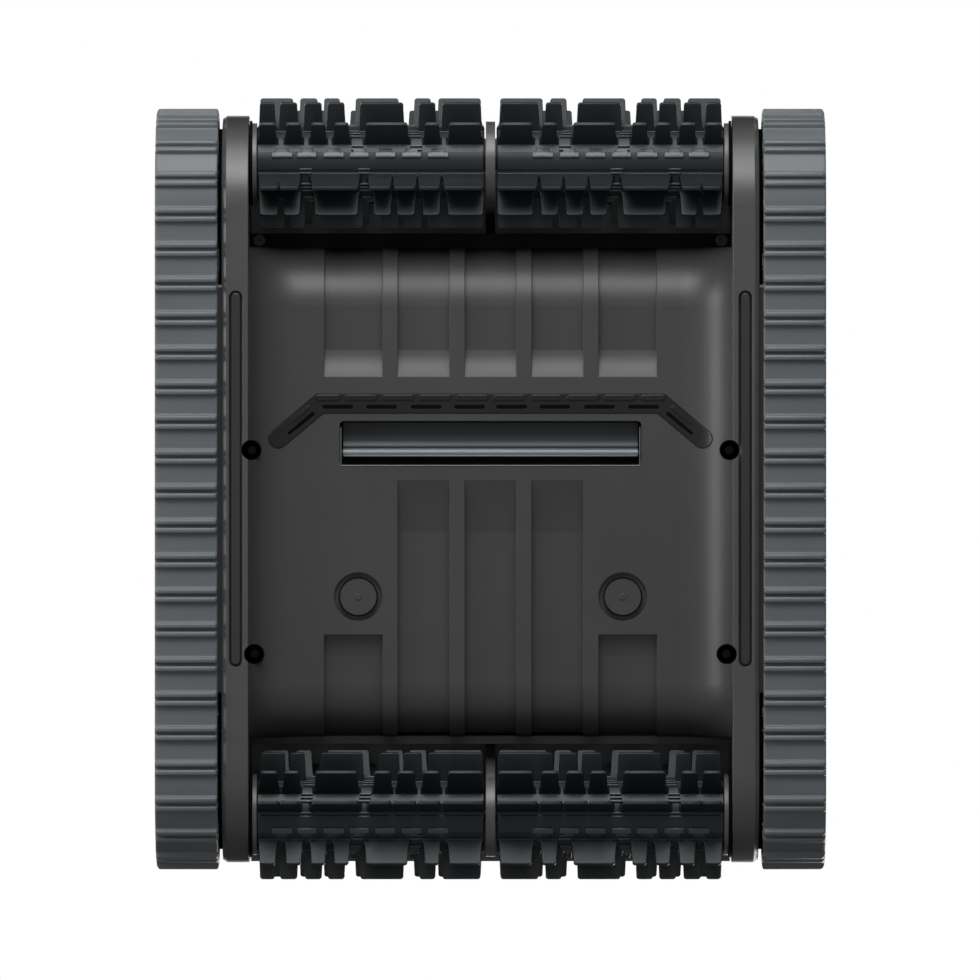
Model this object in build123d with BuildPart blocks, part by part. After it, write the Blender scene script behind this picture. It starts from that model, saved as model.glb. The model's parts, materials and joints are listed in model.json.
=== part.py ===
from build123d import *
import math
import os

os.makedirs("parts", exist_ok=True)

# Tracked pool-cleaning robot. Millimetres, +Z up, +Y forward, origin at the
# middle of the footprint on the floor. Left is +X.

# ---- driving dimensions -------------------------------------------------
TRACK_IN, TRACK_OUT = 163.5, 201.0        # |x| faces of a track
AXLE_Y, AXLE_Z = 170.8, 58.4              # wheel axles
TRACK_PITCH = 20.7                        # tread spacing on the pitch line
R_PITCH = 16 * TRACK_PITCH / (2 * math.pi)
R_BELT_IN, R_BELT, R_TREAD = 50.9, 55.4, 58.4
RIM_R = 50.6                              # wheel rim
FRAME_IN, FRAME_OUT, FRAME_R = 145.0, 161.0, 54.2
BRUSH_Y, BRUSH_Z = 195.8, 40.495          # brush roller axis
BRUSH_R, CORE_R = 39.4, 22.0
BRUSH_X0, BRUSH_X1 = 3.6, 140.3
MODULE, RING_T, PINION_T = 1.5, 60, 19    # brush and motor gears
PAN_X = 144.9
FLOOR_Z, PAN_TOP = 26.0, 38.0             # belly plate
FLANK_X, FLANK_R = 114.0, 33.3            # concave flank of the belly
ROLL_F_Y, ROLL_F_R = 110.0, 36.0          # front roll-off of the belly
ROLL_R_Y, ROLL_R_R = -118.0, 32.0         # rear roll-off
CH_D, CHR_D, POCKET_D = 6.0, 6.0, 6.0     # channel and pocket depths
FRONT_CH = [(-99.9, -64.8), (-55.8, -24.6), (-15.5, 15.5), (24.6, 55.8), (64.8, 99.9)]
REAR_CH = [(-55.8, -24.6), (-15.5, 15.5), (24.6, 55.8)]
REAR_POCKET = [(-100.0, -64.8), (64.8, 100.0)]
SLOT_X, SLOT_Y0, SLOT_Y1 = 90.6, 14.2, 40.8   # suction slot
FLAP_Y, FLAP_Z = 21.75, 30.0              # inlet flap hinge
SHELL_X, SHELL_YF, SHELL_YR, SHELL_TOP = 144.7, 212.0, -225.0, 196.0
WALL = 3.0
WELLS = [(143.3, 23.3), (141.6, -99.0)]   # screw wells under the belly
LIP_SCREWS = [(139.3, 149.8)]              # screws in the front lip

# Paddle rows of one brush sheet: angle from straight down towards the outer
# end of the machine, then the (from, to) distances from the machine's centre.
ROWS = [
    (36, [(138.4, 128.9), (122.5, 113.5), (107.5, 99.1), (93.6, 85.1), (74.7, 49.8), (39.4, 30.9), (24.7, 6.0)]),
    (66, [(138.5, 129.5), (126.4, 116.0), (111.5, 101.3), (97.7, 87.6), (78.2, 52.3), (42.8, 33.1), (28.9, 6.0)]),
    (96, [(138.5, 118.7), (114.5, 104.0), (100.1, 90.6), (81.1, 55.3), (45.8, 35.9), (31.4, 5.8)]),
    (126, [(138.5, 122.0), (117.6, 107.5), (103.4, 93.9), (84.3, 58.5), (49.0, 39.0), (34.6, 5.8)]),
    (156, [(138.5, 125.0), (120.8, 110.7), (106.6, 97.0), (87.5, 61.7), (52.2, 42.2), (37.8, 5.8)]),
    (186, [(138.5, 128.0), (124.0, 114.0), (109.8, 100.2), (90.7, 64.9), (55.4, 45.4), (41.0, 31.0), (26.4, 5.8)]),
    (216, [(138.5, 120.0), (114.5, 104.0), (95.0, 69.5), (60.0, 49.0), (46.0, 35.5), (31.0, 5.8)]),
    (246, [(138.5, 121.5), (117.0, 107.5), (98.5, 73.0), (63.5, 52.5), (49.0, 38.5), (34.0, 5.0)]),
    (276, [(138.3, 123.4), (120.5, 111.5), (102.1, 76.7), (66.7, 54.9), (52.3, 41.3), (37.5, 4.5)]),
    (306, [(138.3, 127.5), (123.9, 114.5), (105.0, 79.7), (69.7, 59.7), (55.8, 45.3), (40.5, 30.4), (25.5, 4.5)]),
    (336, [(138.5, 126.9), (126.4, 114.5), (107.1, 79.1), (72.7, 59.7), (57.9, 44.8), (42.9, 30.4), (27.9, 4.0)]),
]


def inv(a):
    return math.tan(a) - a


def gear_outline(teeth, module, r_in, r_out, phase_deg, slack, internal):
    """Closed outline of an involute gear, or of the tooth spaces of a ring
    gear. slack is added to (ring) or taken off (pinion) each tooth width."""
    rp = teeth * module / 2
    rb = rp * math.cos(math.radians(20))
    i20 = inv(math.radians(20))
    sign = 1 if internal else -1
    pts = []
    steps = 4
    for t in range(teeth):
        c = math.radians(phase_deg) + 2 * math.pi * t / teeth
        flank = []
        for s in range(steps + 1):
            r = r_in + (r_out - r_in) * s / steps
            rr = max(r, rb)
            half = math.pi / (2 * teeth) + i20 - inv(math.acos(min(1, rb / rr)))
            half += sign * slack / (2 * rp)
            flank.append((r, half))
        for r, h in flank:
            pts.append((r * math.cos(c - h), r * math.sin(c - h)))
        for r, h in reversed(flank):
            pts.append((r * math.cos(c + h), r * math.sin(c + h)))
    return pts


C_GEAR = MODULE * (RING_T - PINION_T) / 2
BRUSH_DIR = math.degrees(math.atan2(BRUSH_Z - AXLE_Z, BRUSH_Y - AXLE_Y))
RING_STEP = 360 / RING_T
NEAR_SPACE = round(BRUSH_DIR / RING_STEP) * RING_STEP
BRUSH_PHASE = BRUSH_DIR - (BRUSH_DIR - NEAR_SPACE) * RING_T / PINION_T
MOTOR_Y = AXLE_Y - C_GEAR
R_RING_ROOT = MODULE * (RING_T / 2 + 1.25)
R_RING_TIP = MODULE * (RING_T / 2 - 0.9)
R_PIN_TIP = MODULE * (PINION_T / 2 + 0.9)
R_PIN_ROOT = MODULE * (PINION_T / 2 - 1.25)
print("gear centres", round(math.hypot(BRUSH_Z - AXLE_Z, BRUSH_Y - AXLE_Y), 4), C_GEAR)

# Tread positions on the loop, as (y, z, tangent angle) on the pitch line.
TREADS = [(k * TRACK_PITCH, AXLE_Z - R_PITCH, 0.0) for k in range(-8, 9)]
lead = (8.5 * TRACK_PITCH + 0.5 * TRACK_PITCH - AXLE_Y) / R_PITCH
for k in range(8):
    a = lead + k * math.radians(22.5)
    y, z = AXLE_Y + R_PITCH * math.sin(a), AXLE_Z - R_PITCH * math.cos(a)
    TREADS.append((y, z, math.degrees(a)))
    TREADS.append((-y, z, -math.degrees(a)))
for k in range(16):
    TREADS.append((155.3 - k * TRACK_PITCH, AXLE_Z + R_PITCH, 180.0))
print("treads", len(TREADS), "lead", round(math.degrees(lead), 3))


def flank_z(x):
    """Height of the belly surface above the floor at |x|."""
    d = max(0.0, abs(x) - FLANK_X)
    return FLOOR_Z - FLANK_R + math.sqrt(FLANK_R ** 2 - d ** 2)


FLANK_END = flank_z(PAN_X)
FLANK_MID = flank_z(FLANK_X + (PAN_X - FLANK_X) * 0.55)
X_MID = FLANK_X + (PAN_X - FLANK_X) * 0.55


def pan_outline(notches, depth, lift=0.0, top=PAN_TOP):
    """Belly cross-section in XZ: flat floor with notches, concave flanks."""
    floor = [(-FLANK_X, FLOOR_Z + lift)]
    for a, b in sorted(notches):
        floor += [(a, FLOOR_Z), (a, FLOOR_Z + depth), (b, FLOOR_Z + depth), (b, FLOOR_Z)]
    floor.append((FLANK_X, FLOOR_Z + lift))
    with BuildLine(mode=Mode.PRIVATE) as outline:
        Polyline(*floor)
        ThreePointArc((FLANK_X, FLOOR_Z + lift), (X_MID, FLANK_MID + lift), (PAN_X, FLANK_END + lift))
        Polyline((PAN_X, FLANK_END + lift), (PAN_X, top), (-PAN_X, top), (-PAN_X, FLANK_END + lift))
        ThreePointArc((-PAN_X, FLANK_END + lift), (-X_MID, FLANK_MID + lift), (-FLANK_X, FLOOR_Z + lift))
    return outline.wires()[0]


# Plane whose local x is +X, local y is +Z and whose normal is +Y.
def xz(y):
    return Plane(origin=(0, y, 0), x_dir=(-1, 0, 0), z_dir=(0, 1, 0))


# ---- belly pan ----------------------------------------------------------
ROLL_END = math.radians(80)
with BuildPart() as belly_pan:
    with BuildSketch(xz(-118.0)):
        make_face(pan_outline(REAR_CH + REAR_POCKET, POCKET_D))
    extrude(amount=30.6)
    with BuildSketch(xz(-87.4)):
        make_face(pan_outline(REAR_CH, CHR_D))
    extrude(amount=87.4 + 5.4)
    with BuildSketch(xz(5.4)):
        make_face(pan_outline([], 0))
    extrude(amount=62.0)
    with BuildSketch(xz(67.4)):
        make_face(pan_outline(FRONT_CH, CH_D))
    extrude(amount=ROLL_F_Y - 67.4)
    # front roll-off: the same section carried up a quarter curve
    with BuildLine() as front_roll:
        ThreePointArc(
            (0, ROLL_F_Y, 0),
            (0, ROLL_F_Y + ROLL_F_R * math.sin(ROLL_END / 2), ROLL_F_R * (1 - math.cos(ROLL_END / 2))),
            (0, ROLL_F_Y + ROLL_F_R * math.sin(ROLL_END), ROLL_F_R * (1 - math.cos(ROLL_END))),
        )
    with BuildSketch(xz(ROLL_F_Y)):
        make_face(pan_outline(FRONT_CH, CH_D))
    sweep(path=front_roll.line, normal=(0, 1, 0))
    with BuildLine() as rear_roll:
        ThreePointArc(
            (0, ROLL_R_Y, 0),
            (0, ROLL_R_Y - ROLL_R_R * math.sin(ROLL_END / 2), ROLL_R_R * (1 - math.cos(ROLL_END / 2))),
            (0, ROLL_R_Y - ROLL_R_R * math.sin(ROLL_END), ROLL_R_R * (1 - math.cos(ROLL_END))),
        )
    with BuildSketch(xz(ROLL_R_Y)):
        make_face(pan_outline(REAR_CH + REAR_POCKET, POCKET_D))
    sweep(path=rear_roll.line, normal=(0, 1, 0))
    # bulkheads behind the brushes
    with BuildSketch(Plane.XY.offset(62)):
        with Locations((0, 143.5)):
            Rectangle(2 * PAN_X, 5)
    extrude(amount=21.8)
    with BuildSketch(Plane.XY.offset(50)):
        with Locations((0, -151.0)):
            Rectangle(2 * PAN_X, 5)
    extrude(amount=33.8)
    # bays for the drive motors
    with BuildSketch(Plane.YZ.offset(-PAN_X - 1)):
        with Locations((-MOTOR_Y, AXLE_Z)):
            Circle(10.65)
            Rectangle(21.3, 21.3, align=(Align.CENTER, Align.MIN))
    extrude(amount=2 * PAN_X + 2, mode=Mode.SUBTRACT)
    with BuildSketch(Plane.XY.offset(60)):
        with Locations((0, 147.5)):
            Rectangle(2 * PAN_X, 13)
    extrude(amount=5)
    # soft ramps where the channels run out
    with BuildSketch(Plane.YZ.offset(-99.9)):
        with BuildLine():
            Line((66.8, FLOOR_Z), (67.4, FLOOR_Z))
            ThreePointArc((67.4, FLOOR_Z), (76.5, FLOOR_Z + 4.6), (88.8, FLOOR_Z + CH_D))
            Polyline((88.8, FLOOR_Z + CH_D), (88.8, FLOOR_Z + CH_D + 1), (66.8, FLOOR_Z + CH_D + 1), (66.8, FLOOR_Z))
        make_face()
    extrude(amount=199.8)
    with BuildSketch(Plane.YZ.offset(-55.8)):
        with BuildLine():
            Line((6.0, FLOOR_Z), (5.4, FLOOR_Z))
            ThreePointArc((5.4, FLOOR_Z), (-8, FLOOR_Z + 3.4), (-26, FLOOR_Z + CHR_D))
            Polyline((-26, FLOOR_Z + CHR_D), (-26, FLOOR_Z + CHR_D + 1), (6.0, FLOOR_Z + CHR_D + 1), (6.0, FLOOR_Z))
        make_face()
    extrude(amount=111.6)
    for x0 in (-100.0, 64.8):
        with BuildSketch(Plane.YZ.offset(x0)):
            with BuildLine():
                Line((-86.8, FLOOR_Z + 2.5), (-87.4, FLOOR_Z + 2.5))
                ThreePointArc((-87.4, FLOOR_Z + 2.5), (-93.5, FLOOR_Z + 5), (-102, FLOOR_Z + POCKET_D))
                Polyline((-102, FLOOR_Z + POCKET_D), (-102, FLOOR_Z + POCKET_D + 1), (-86.8, FLOOR_Z + POCKET_D + 1), (-86.8, FLOOR_Z + 2.5))
            make_face()
        extrude(amount=35.2)
    # suction slot
    with BuildSketch(Plane.XY.offset(20)):
        with Locations((0, (SLOT_Y0 + SLOT_Y1) / 2)):
            RectangleRounded(2 * SLOT_X, SLOT_Y1 - SLOT_Y0, 2.5)
    extrude(amount=30, mode=Mode.SUBTRACT)
    # blind holes for the flap pin
    with BuildSketch(Plane.YZ.offset(-95.2)):
        with Locations((FLAP_Y, FLAP_Z)):
            Circle(1.22)
    extrude(amount=190.4, mode=Mode.SUBTRACT)
    # pad seats and the ring grooves round them
    with BuildSketch(Plane.XY.offset(20)):
        with Locations((79.4, -64.7), (-79.4, -64.7)):
            Circle(14.6)
    extrude(amount=9, mode=Mode.SUBTRACT)
    # screw wells and through holes
    with BuildSketch(Plane.XY):
        with Locations(*[(sx * x, y) for x, y in WELLS for sx in (1, -1)]):
            Circle(6.0)
    extrude(amount=34, mode=Mode.SUBTRACT)
    with BuildSketch(Plane.XY):
        with Locations(*[(sx * x, y) for x, y in WELLS for sx in (1, -1)]):
            Circle(2.2)
    extrude(amount=50, mode=Mode.SUBTRACT)
    with BuildSketch(Plane.XY.offset(58)):
        with Locations(*[(sx * x, y) for x, y in LIP_SCREWS for sx in (1, -1)]):
            Circle(2.2)
    extrude(amount=12, mode=Mode.SUBTRACT)

# ---- vent strip, bent down at both ends ---------------------------------
STRIP_MID = [(-127.3, 30.2), (-102.3, 51.2), (102.3, 51.2), (127.3, 30.2)]


def belly_skin(below, above):
    """Band that follows the belly surface, from below it to above it."""
    with BuildLine(mode=Mode.PRIVATE) as band:
        Line((-FLANK_X, FLOOR_Z - below), (FLANK_X, FLOOR_Z - below))
        ThreePointArc((FLANK_X, FLOOR_Z - below), (X_MID, FLANK_MID - below), (PAN_X, FLANK_END - below))
        Line((PAN_X, FLANK_END - below), (PAN_X, FLANK_END + above))
        ThreePointArc((PAN_X, FLANK_END + above), (X_MID, FLANK_MID + above), (FLANK_X, FLOOR_Z + above))
        Line((FLANK_X, FLOOR_Z + above), (-FLANK_X, FLOOR_Z + above))
        ThreePointArc((-FLANK_X, FLOOR_Z + above), (-X_MID, FLANK_MID + above), (-PAN_X, FLANK_END + above))
        Line((-PAN_X, FLANK_END + above), (-PAN_X, FLANK_END - below))
        ThreePointArc((-PAN_X, FLANK_END - below), (-X_MID, FLANK_MID - below), (-FLANK_X, FLOOR_Z - below))
    return band.wires()[0]


def band_outline(half):
    """Round-ended outline of the bent strip, half wide each side."""
    s = math.hypot(25.0, 21.0)
    ux, uy = 25.0 / s, 21.0 / s
    nx, ny = -uy, ux
    m = half * (1 - ux) / uy * 1.0
    m = half * math.tan(math.atan2(21.0, 25.0) / 2)
    x0, y0 = 127.3, 30.2
    xk, yk = 102.3, 51.2
    with BuildLine(mode=Mode.PRIVATE) as o:
        Polyline((-xk - m, yk + half), (xk + m, yk + half), (x0 + half * uy, y0 + half * ux))
        ThreePointArc((x0 + half * uy, y0 + half * ux), (x0 + half * ux, y0 - half * uy), (x0 - half * uy, y0 - half * ux))
        Polyline((x0 - half * uy, y0 - half * ux), (xk - m, yk - half), (-xk + m, yk - half), (-x0 + half * uy, y0 - half * ux))
        ThreePointArc((-x0 + half * uy, y0 - half * ux), (-x0 - half * ux, y0 - half * uy), (-x0 - half * uy, y0 + half * ux))
        Line((-x0 - half * uy, y0 + half * ux), (-xk - m, yk + half))
    return o.wires()[0]


STRIP_HALF = 5.9
with BuildPart() as strip_seat:
    with BuildSketch(Plane.XY):
        make_face(band_outline(STRIP_HALF))
    extrude(amount=40)
    with BuildSketch(xz(18.0)):
        make_face(belly_skin(2.0, 2.6))
    extrude(amount=44, mode=Mode.INTERSECT)

with BuildPart() as vent_strip:
    with BuildSketch(Plane.XY):
        make_face(band_outline(STRIP_HALF - 0.3))
    extrude(amount=40)
    with BuildSketch(xz(18.0)):
        make_face(belly_skin(0.5, 2.6))
    extrude(amount=44, mode=Mode.INTERSECT)
    # a row of shallow slots and, above it, a row of raised bars
    with BuildSketch(Plane.XY.offset(20)):
        with Locations(*[(s * x, 49.4) for x in (12.6, 38.7, 65.4, 91.8) for s in (1, -1)]):
            Rectangle(18, 1.9)
        with Locations((113.6, 39.4)):
            Rectangle(20, 1.8, rotation=-40)
        with Locations((-113.6, 39.4)):
            Rectangle(20, 1.8, rotation=40)
    extrude(amount=7.4, mode=Mode.SUBTRACT)
    with BuildSketch(Plane.XY.offset(24.9)):
        with Locations(*[(s * x, 54.6) for x in (11.1, 33.3, 55.5, 77.7) for s in (1, -1)]):
            Rectangle(18.6, 1.6)
    extrude(amount=1.2)
vent_strip.part.label = "vent_strip"
export_step(vent_strip.part, "parts/vent_strip.step")

with BuildPart() as belly_pan_done:
    add(belly_pan.part)
    add(strip_seat.part, mode=Mode.SUBTRACT)
belly_pan_done.part.label = "belly_pan"
export_step(belly_pan_done.part, "parts/belly_pan.step")

# ---- round pads ---------------------------------------------------------
with BuildPart() as left_round_pad:
    with BuildSketch(Plane.XY.offset(26.2)):
        with Locations((79.4, -64.7)):
            Circle(11.2)
    extrude(amount=2.8)
    fillet(left_round_pad.faces().sort_by(Axis.Z)[0].edges(), 0.5)
    with BuildSketch(Plane.XY.offset(25.6)):
        with Locations((79.4, -64.7)):
            Circle(1.9)
    extrude(amount=0.8)
left_round_pad.part.label = "left_round_pad"
export_step(left_round_pad.part, "parts/left_round_pad.step")
with BuildPart() as right_round_pad:
    mirror(left_round_pad.part, about=Plane.YZ)
right_round_pad.part.label = "right_round_pad"
export_step(right_round_pad.part, "parts/right_round_pad.step")

# ---- side frames --------------------------------------------------------
with BuildPart() as left_side_frame:
    with BuildSketch(Plane.YZ.offset(FRAME_IN)):
        with Locations((0, AXLE_Z)):
            SlotCenterToCenter(2 * AXLE_Y, 2 * FRAME_R)
    extrude(amount=FRAME_OUT - FRAME_IN)
    chamfer(left_side_frame.faces().sort_by(Axis.X)[-1].edges(), 2.6, 1.6)
    fillet(left_side_frame.faces().sort_by(Axis.X)[0].edges(), 0.6)
    # weight pocket, open towards the machine's inside
    with BuildSketch(Plane.YZ.offset(FRAME_IN)):
        with Locations((0, 73)):
            Rectangle(226, 62)
    extrude(amount=12, mode=Mode.SUBTRACT)
    # bosses that space the wheels off the frame
    with BuildSketch(Plane.YZ.offset(FRAME_OUT - 2)):
        with Locations((AXLE_Y, AXLE_Z), (-AXLE_Y, AXLE_Z)):
            Circle(11)
    extrude(amount=5)
    # axle holes, brush bush holes, motor shaft hole
    with BuildSketch(Plane.YZ.offset(FRAME_IN - 1)):
        with Locations((AXLE_Y, AXLE_Z), (-AXLE_Y, AXLE_Z)):
            Circle(5.02)
        with Locations((BRUSH_Y, BRUSH_Z), (-BRUSH_Y, BRUSH_Z)):
            Circle(8.0)
        with Locations((-MOTOR_Y, AXLE_Z)):
            Circle(6.0)
    extrude(amount=25, mode=Mode.SUBTRACT)
    # long slot along the underside for the rubbing strip
    with BuildSketch(Plane.XY):
        with Locations(((148.5 + 156.6) / 2, (118.8 - 106.5) / 2)):
            SlotOverall(118.8 + 106.5, 8.1, rotation=90)
    extrude(amount=10, mode=Mode.SUBTRACT)
    # screw wells that break the inner edge
    with BuildSketch(Plane.XY):
        with Locations(*WELLS):
            Circle(6.0)
    extrude(amount=36, mode=Mode.SUBTRACT)
    with BuildSketch(Plane.XY):
        with Locations(*WELLS):
            Circle(2.4)
    extrude(amount=60, mode=Mode.SUBTRACT)
left_side_frame.part.label = "left_side_frame"
export_step(left_side_frame.part, "parts/left_side_frame.step")
with BuildPart() as right_side_frame:
    mirror(left_side_frame.part, about=Plane.YZ)
right_side_frame.part.label = "right_side_frame"
export_step(right_side_frame.part, "parts/right_side_frame.step")

with BuildPart() as left_frame_strip:
    with BuildSketch(Plane.XY.offset(5.0)):
        with Locations(((148.5 + 156.6) / 2 + 0.1, (118.8 - 106.5) / 2)):
            SlotOverall(118.8 + 106.5 - 2.4, 5.9, rotation=90)
    extrude(amount=5.0)
    fillet(left_frame_strip.faces().sort_by(Axis.Z)[0].edges(), 0.8)
left_frame_strip.part.label = "left_frame_strip"
export_step(left_frame_strip.part, "parts/left_frame_strip.step")
with BuildPart() as right_frame_strip:
    mirror(left_frame_strip.part, about=Plane.YZ)
right_frame_strip.part.label = "right_frame_strip"
export_step(right_frame_strip.part, "parts/right_frame_strip.step")

# ---- tracks -------------------------------------------------------------
with BuildPart() as left_track:
    with BuildSketch(Plane.YZ.offset(TRACK_IN)):
        with Locations((0, AXLE_Z)):
            SlotCenterToCenter(2 * AXLE_Y, 2 * R_BELT)
        for y, z, a in TREADS:
            n = (math.sin(math.radians(a)), -math.cos(math.radians(a)))
            t = (math.cos(math.radians(a)), math.sin(math.radians(a)))
            mid = (R_BELT + R_TREAD) / 2 - R_PITCH - 0.25
            with Locations(*[(y + n[0] * mid + t[0] * o, z + n[1] * mid + t[1] * o) for o in (-2.55, 2.55)]):
                Rectangle(3.3, R_TREAD - R_BELT + 0.5, rotation=a)
        with Locations((0, AXLE_Z)):
            SlotCenterToCenter(2 * AXLE_Y, 2 * R_BELT_IN, mode=Mode.SUBTRACT)
    extrude(amount=TRACK_OUT - TRACK_IN)
    # drive lugs on the inside, along the outer half of the width
    with BuildSketch(Plane.YZ.offset(184)):
        for y, z, a in TREADS:
            n = (math.sin(math.radians(a)), -math.cos(math.radians(a)))
            mid = (46.8 + 51.5) / 2 - R_PITCH
            with Locations((y + n[0] * mid, z + n[1] * mid)):
                Rectangle(5.0, 51.5 - 46.8, rotation=a)
    extrude(amount=14)
left_track.part.label = "left_track"
export_step(left_track.part, "parts/left_track.step")
with BuildPart() as right_track:
    mirror(left_track.part, about=Plane.YZ)
right_track.part.label = "right_track"
export_step(right_track.part, "parts/right_track.step")

# ---- track wheels -------------------------------------------------------
with BuildPart() as left_front_wheel:
    with BuildSketch(Plane.YZ.offset(164.6)):
        with Locations((AXLE_Y, AXLE_Z)):
            Circle(RIM_R)
    extrude(amount=35.2)
    # ring gear cavity, open towards the frame
    with BuildSketch(Plane.YZ.offset(164.6)):
        with Locations((AXLE_Y, AXLE_Z)):
            Polygon(*gear_outline(RING_T, MODULE, R_RING_TIP, R_RING_ROOT, 0, 0.14, True), align=None)
    extrude(amount=12.6, mode=Mode.SUBTRACT)
    # hub inside the cavity
    with BuildSketch(Plane.YZ.offset(164.6)):
        with Locations((AXLE_Y, AXLE_Z)):
            Circle(10.5)
    extrude(amount=13)
    # dish on the outside, with ribs out to the rim
    with BuildSketch(Plane.YZ.offset(181.5)):
        with Locations((AXLE_Y, AXLE_Z)):
            Circle(42.5)
            Circle(14, mode=Mode.SUBTRACT)
            with PolarLocations(0, 8):
                with Locations((28, 0)):
                    Rectangle(40, 4.0, mode=Mode.SUBTRACT)
    extrude(amount=20, mode=Mode.SUBTRACT)
    # notches for the drive lugs
    with BuildSketch(Plane.YZ.offset(182.5)):
        with Locations((AXLE_Y, AXLE_Z)):
            with PolarLocations(0, 16, start_angle=-90 + math.degrees(lead)):
                with Locations((49.5, 0)):
                    Rectangle(7.6, 8.0)
    extrude(amount=20, mode=Mode.SUBTRACT)
    # axle bore
    with BuildSketch(Plane.YZ.offset(160)):
        with Locations((AXLE_Y, AXLE_Z)):
            Circle(5.06)
    extrude(amount=45, mode=Mode.SUBTRACT)
left_front_wheel.part.label = "left_front_wheel"
export_step(left_front_wheel.part, "parts/left_front_wheel.step")
with BuildPart() as left_rear_wheel:
    mirror(left_front_wheel.part, about=Plane.XZ)
left_rear_wheel.part.label = "left_rear_wheel"
export_step(left_rear_wheel.part, "parts/left_rear_wheel.step")
with BuildPart() as right_front_wheel:
    mirror(left_front_wheel.part, about=Plane.YZ)
right_front_wheel.part.label = "right_front_wheel"
export_step(right_front_wheel.part, "parts/right_front_wheel.step")
with BuildPart() as right_rear_wheel:
    mirror(left_rear_wheel.part, about=Plane.YZ)
right_rear_wheel.part.label = "right_rear_wheel"
export_step(right_rear_wheel.part, "parts/right_rear_wheel.step")

with BuildPart() as wheel_axles:
    with BuildSketch(Plane.YZ.offset(146)):
        with Locations((AXLE_Y, AXLE_Z), (-AXLE_Y, AXLE_Z)):
            Circle(5.0)
    extrude(amount=54.2)
    mirror(about=Plane.YZ)
wheel_axles.part.label = "wheel_axles"
export_step(wheel_axles.part, "parts/wheel_axles.step")

with BuildPart() as wheel_caps:
    with BuildSketch(Plane.YZ.offset(200.2)):
        with Locations((AXLE_Y, AXLE_Z), (-AXLE_Y, AXLE_Z)):
            Circle(8.5)
    extrude(amount=0.8)
    mirror(about=Plane.YZ)
wheel_caps.part.label = "wheel_caps"
export_step(wheel_caps.part, "parts/wheel_caps.step")

# ---- covers and guides inside the track loops ---------------------------
with BuildPart() as left_side_cover:
    with BuildSketch(Plane.YZ.offset(161)):
        with Locations((0, AXLE_Z)):
            Rectangle(262, 82)
        with Locations((AXLE_Y, AXLE_Z), (-AXLE_Y, AXLE_Z)):
            Circle(53.5, mode=Mode.SUBTRACT)
    extrude(amount=34)
    fillet(left_side_cover.faces().sort_by(Axis.X)[-1].edges(), 2.5)
    with BuildSketch(Plane.YZ.offset(161)):
        with Locations((0, AXLE_Z)):
            Rectangle(222, 76)
        with Locations((AXLE_Y, AXLE_Z), (-AXLE_Y, AXLE_Z)):
            Circle(56.5, mode=Mode.SUBTRACT)
    extrude(amount=31, mode=Mode.SUBTRACT)
    # shallow panel line on the outside
    with BuildSketch(Plane.YZ.offset(194)):
        with Locations((0, AXLE_Z)):
            SlotOverall(160, 34)
            SlotOverall(156, 30, mode=Mode.SUBTRACT)
    extrude(amount=2, mode=Mode.SUBTRACT)
left_side_cover.part.label = "left_side_cover"
export_step(left_side_cover.part, "parts/left_side_cover.step")
with BuildPart() as right_side_cover:
    mirror(left_side_cover.part, about=Plane.YZ)
right_side_cover.part.label = "right_side_cover"
export_step(right_side_cover.part, "parts/right_side_cover.step")

with BuildPart() as left_track_guides:
    with BuildSketch(Plane.YZ.offset(161)):
        with Locations((0, 12.2), (0, 104.6)):
            RectangleRounded(246, 8.0, 2.5)
    extrude(amount=21)
left_track_guides.part.label = "left_track_guides"
export_step(left_track_guides.part, "parts/left_track_guides.step")
with BuildPart() as right_track_guides:
    mirror(left_track_guides.part, about=Plane.YZ)
right_track_guides.part.label = "right_track_guides"
export_step(right_track_guides.part, "parts/right_track_guides.step")

# ---- brushes ------------------------------------------------------------
REAR_TURN = 12.0          # the rear pair stands this much further round than the front pair
with BuildPart() as left_front_brush:
    with BuildSketch(Plane.YZ.offset(BRUSH_X0)):
        with Locations((BRUSH_Y, BRUSH_Z)):
            Circle(CORE_R)
    extrude(amount=BRUSH_X1 - BRUSH_X0)
    for angle, spans in ROWS:
        for a, b in spans:
            with BuildSketch(Plane.YZ.offset(b)):
                with Locations((BRUSH_Y, BRUSH_Z)):
                    with PolarLocations(0, 1, start_angle=angle - 90):
                        with Locations(((CORE_R + BRUSH_R) / 2 - 0.5, 0)):
                            Rectangle(BRUSH_R - CORE_R + 1.0, 2.4)
            extrude(amount=a - b)
    with BuildSketch(Plane.YZ.offset(0)):
        with Locations((BRUSH_Y, BRUSH_Z)):
            Circle(6.0)
    extrude(amount=150, mode=Mode.SUBTRACT)
left_front_brush.part.label = "left_front_brush"
export_step(left_front_brush.part, "parts/left_front_brush.step")
with BuildPart() as right_front_brush:
    mirror(left_front_brush.part, about=Plane.YZ)
right_front_brush.part.label = "right_front_brush"
export_step(right_front_brush.part, "parts/right_front_brush.step")
REAR_AXIS = Axis((0, -BRUSH_Y, BRUSH_Z), (1, 0, 0))
with BuildPart() as left_rear_brush:
    add(left_front_brush.part.mirror(Plane.XZ).rotate(REAR_AXIS, -REAR_TURN))
left_rear_brush.part.label = "left_rear_brush"
export_step(left_rear_brush.part, "parts/left_rear_brush.step")
with BuildPart() as right_rear_brush:
    mirror(left_rear_brush.part, about=Plane.YZ)
right_rear_brush.part.label = "right_rear_brush"
export_step(right_rear_brush.part, "parts/right_rear_brush.step")

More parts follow.
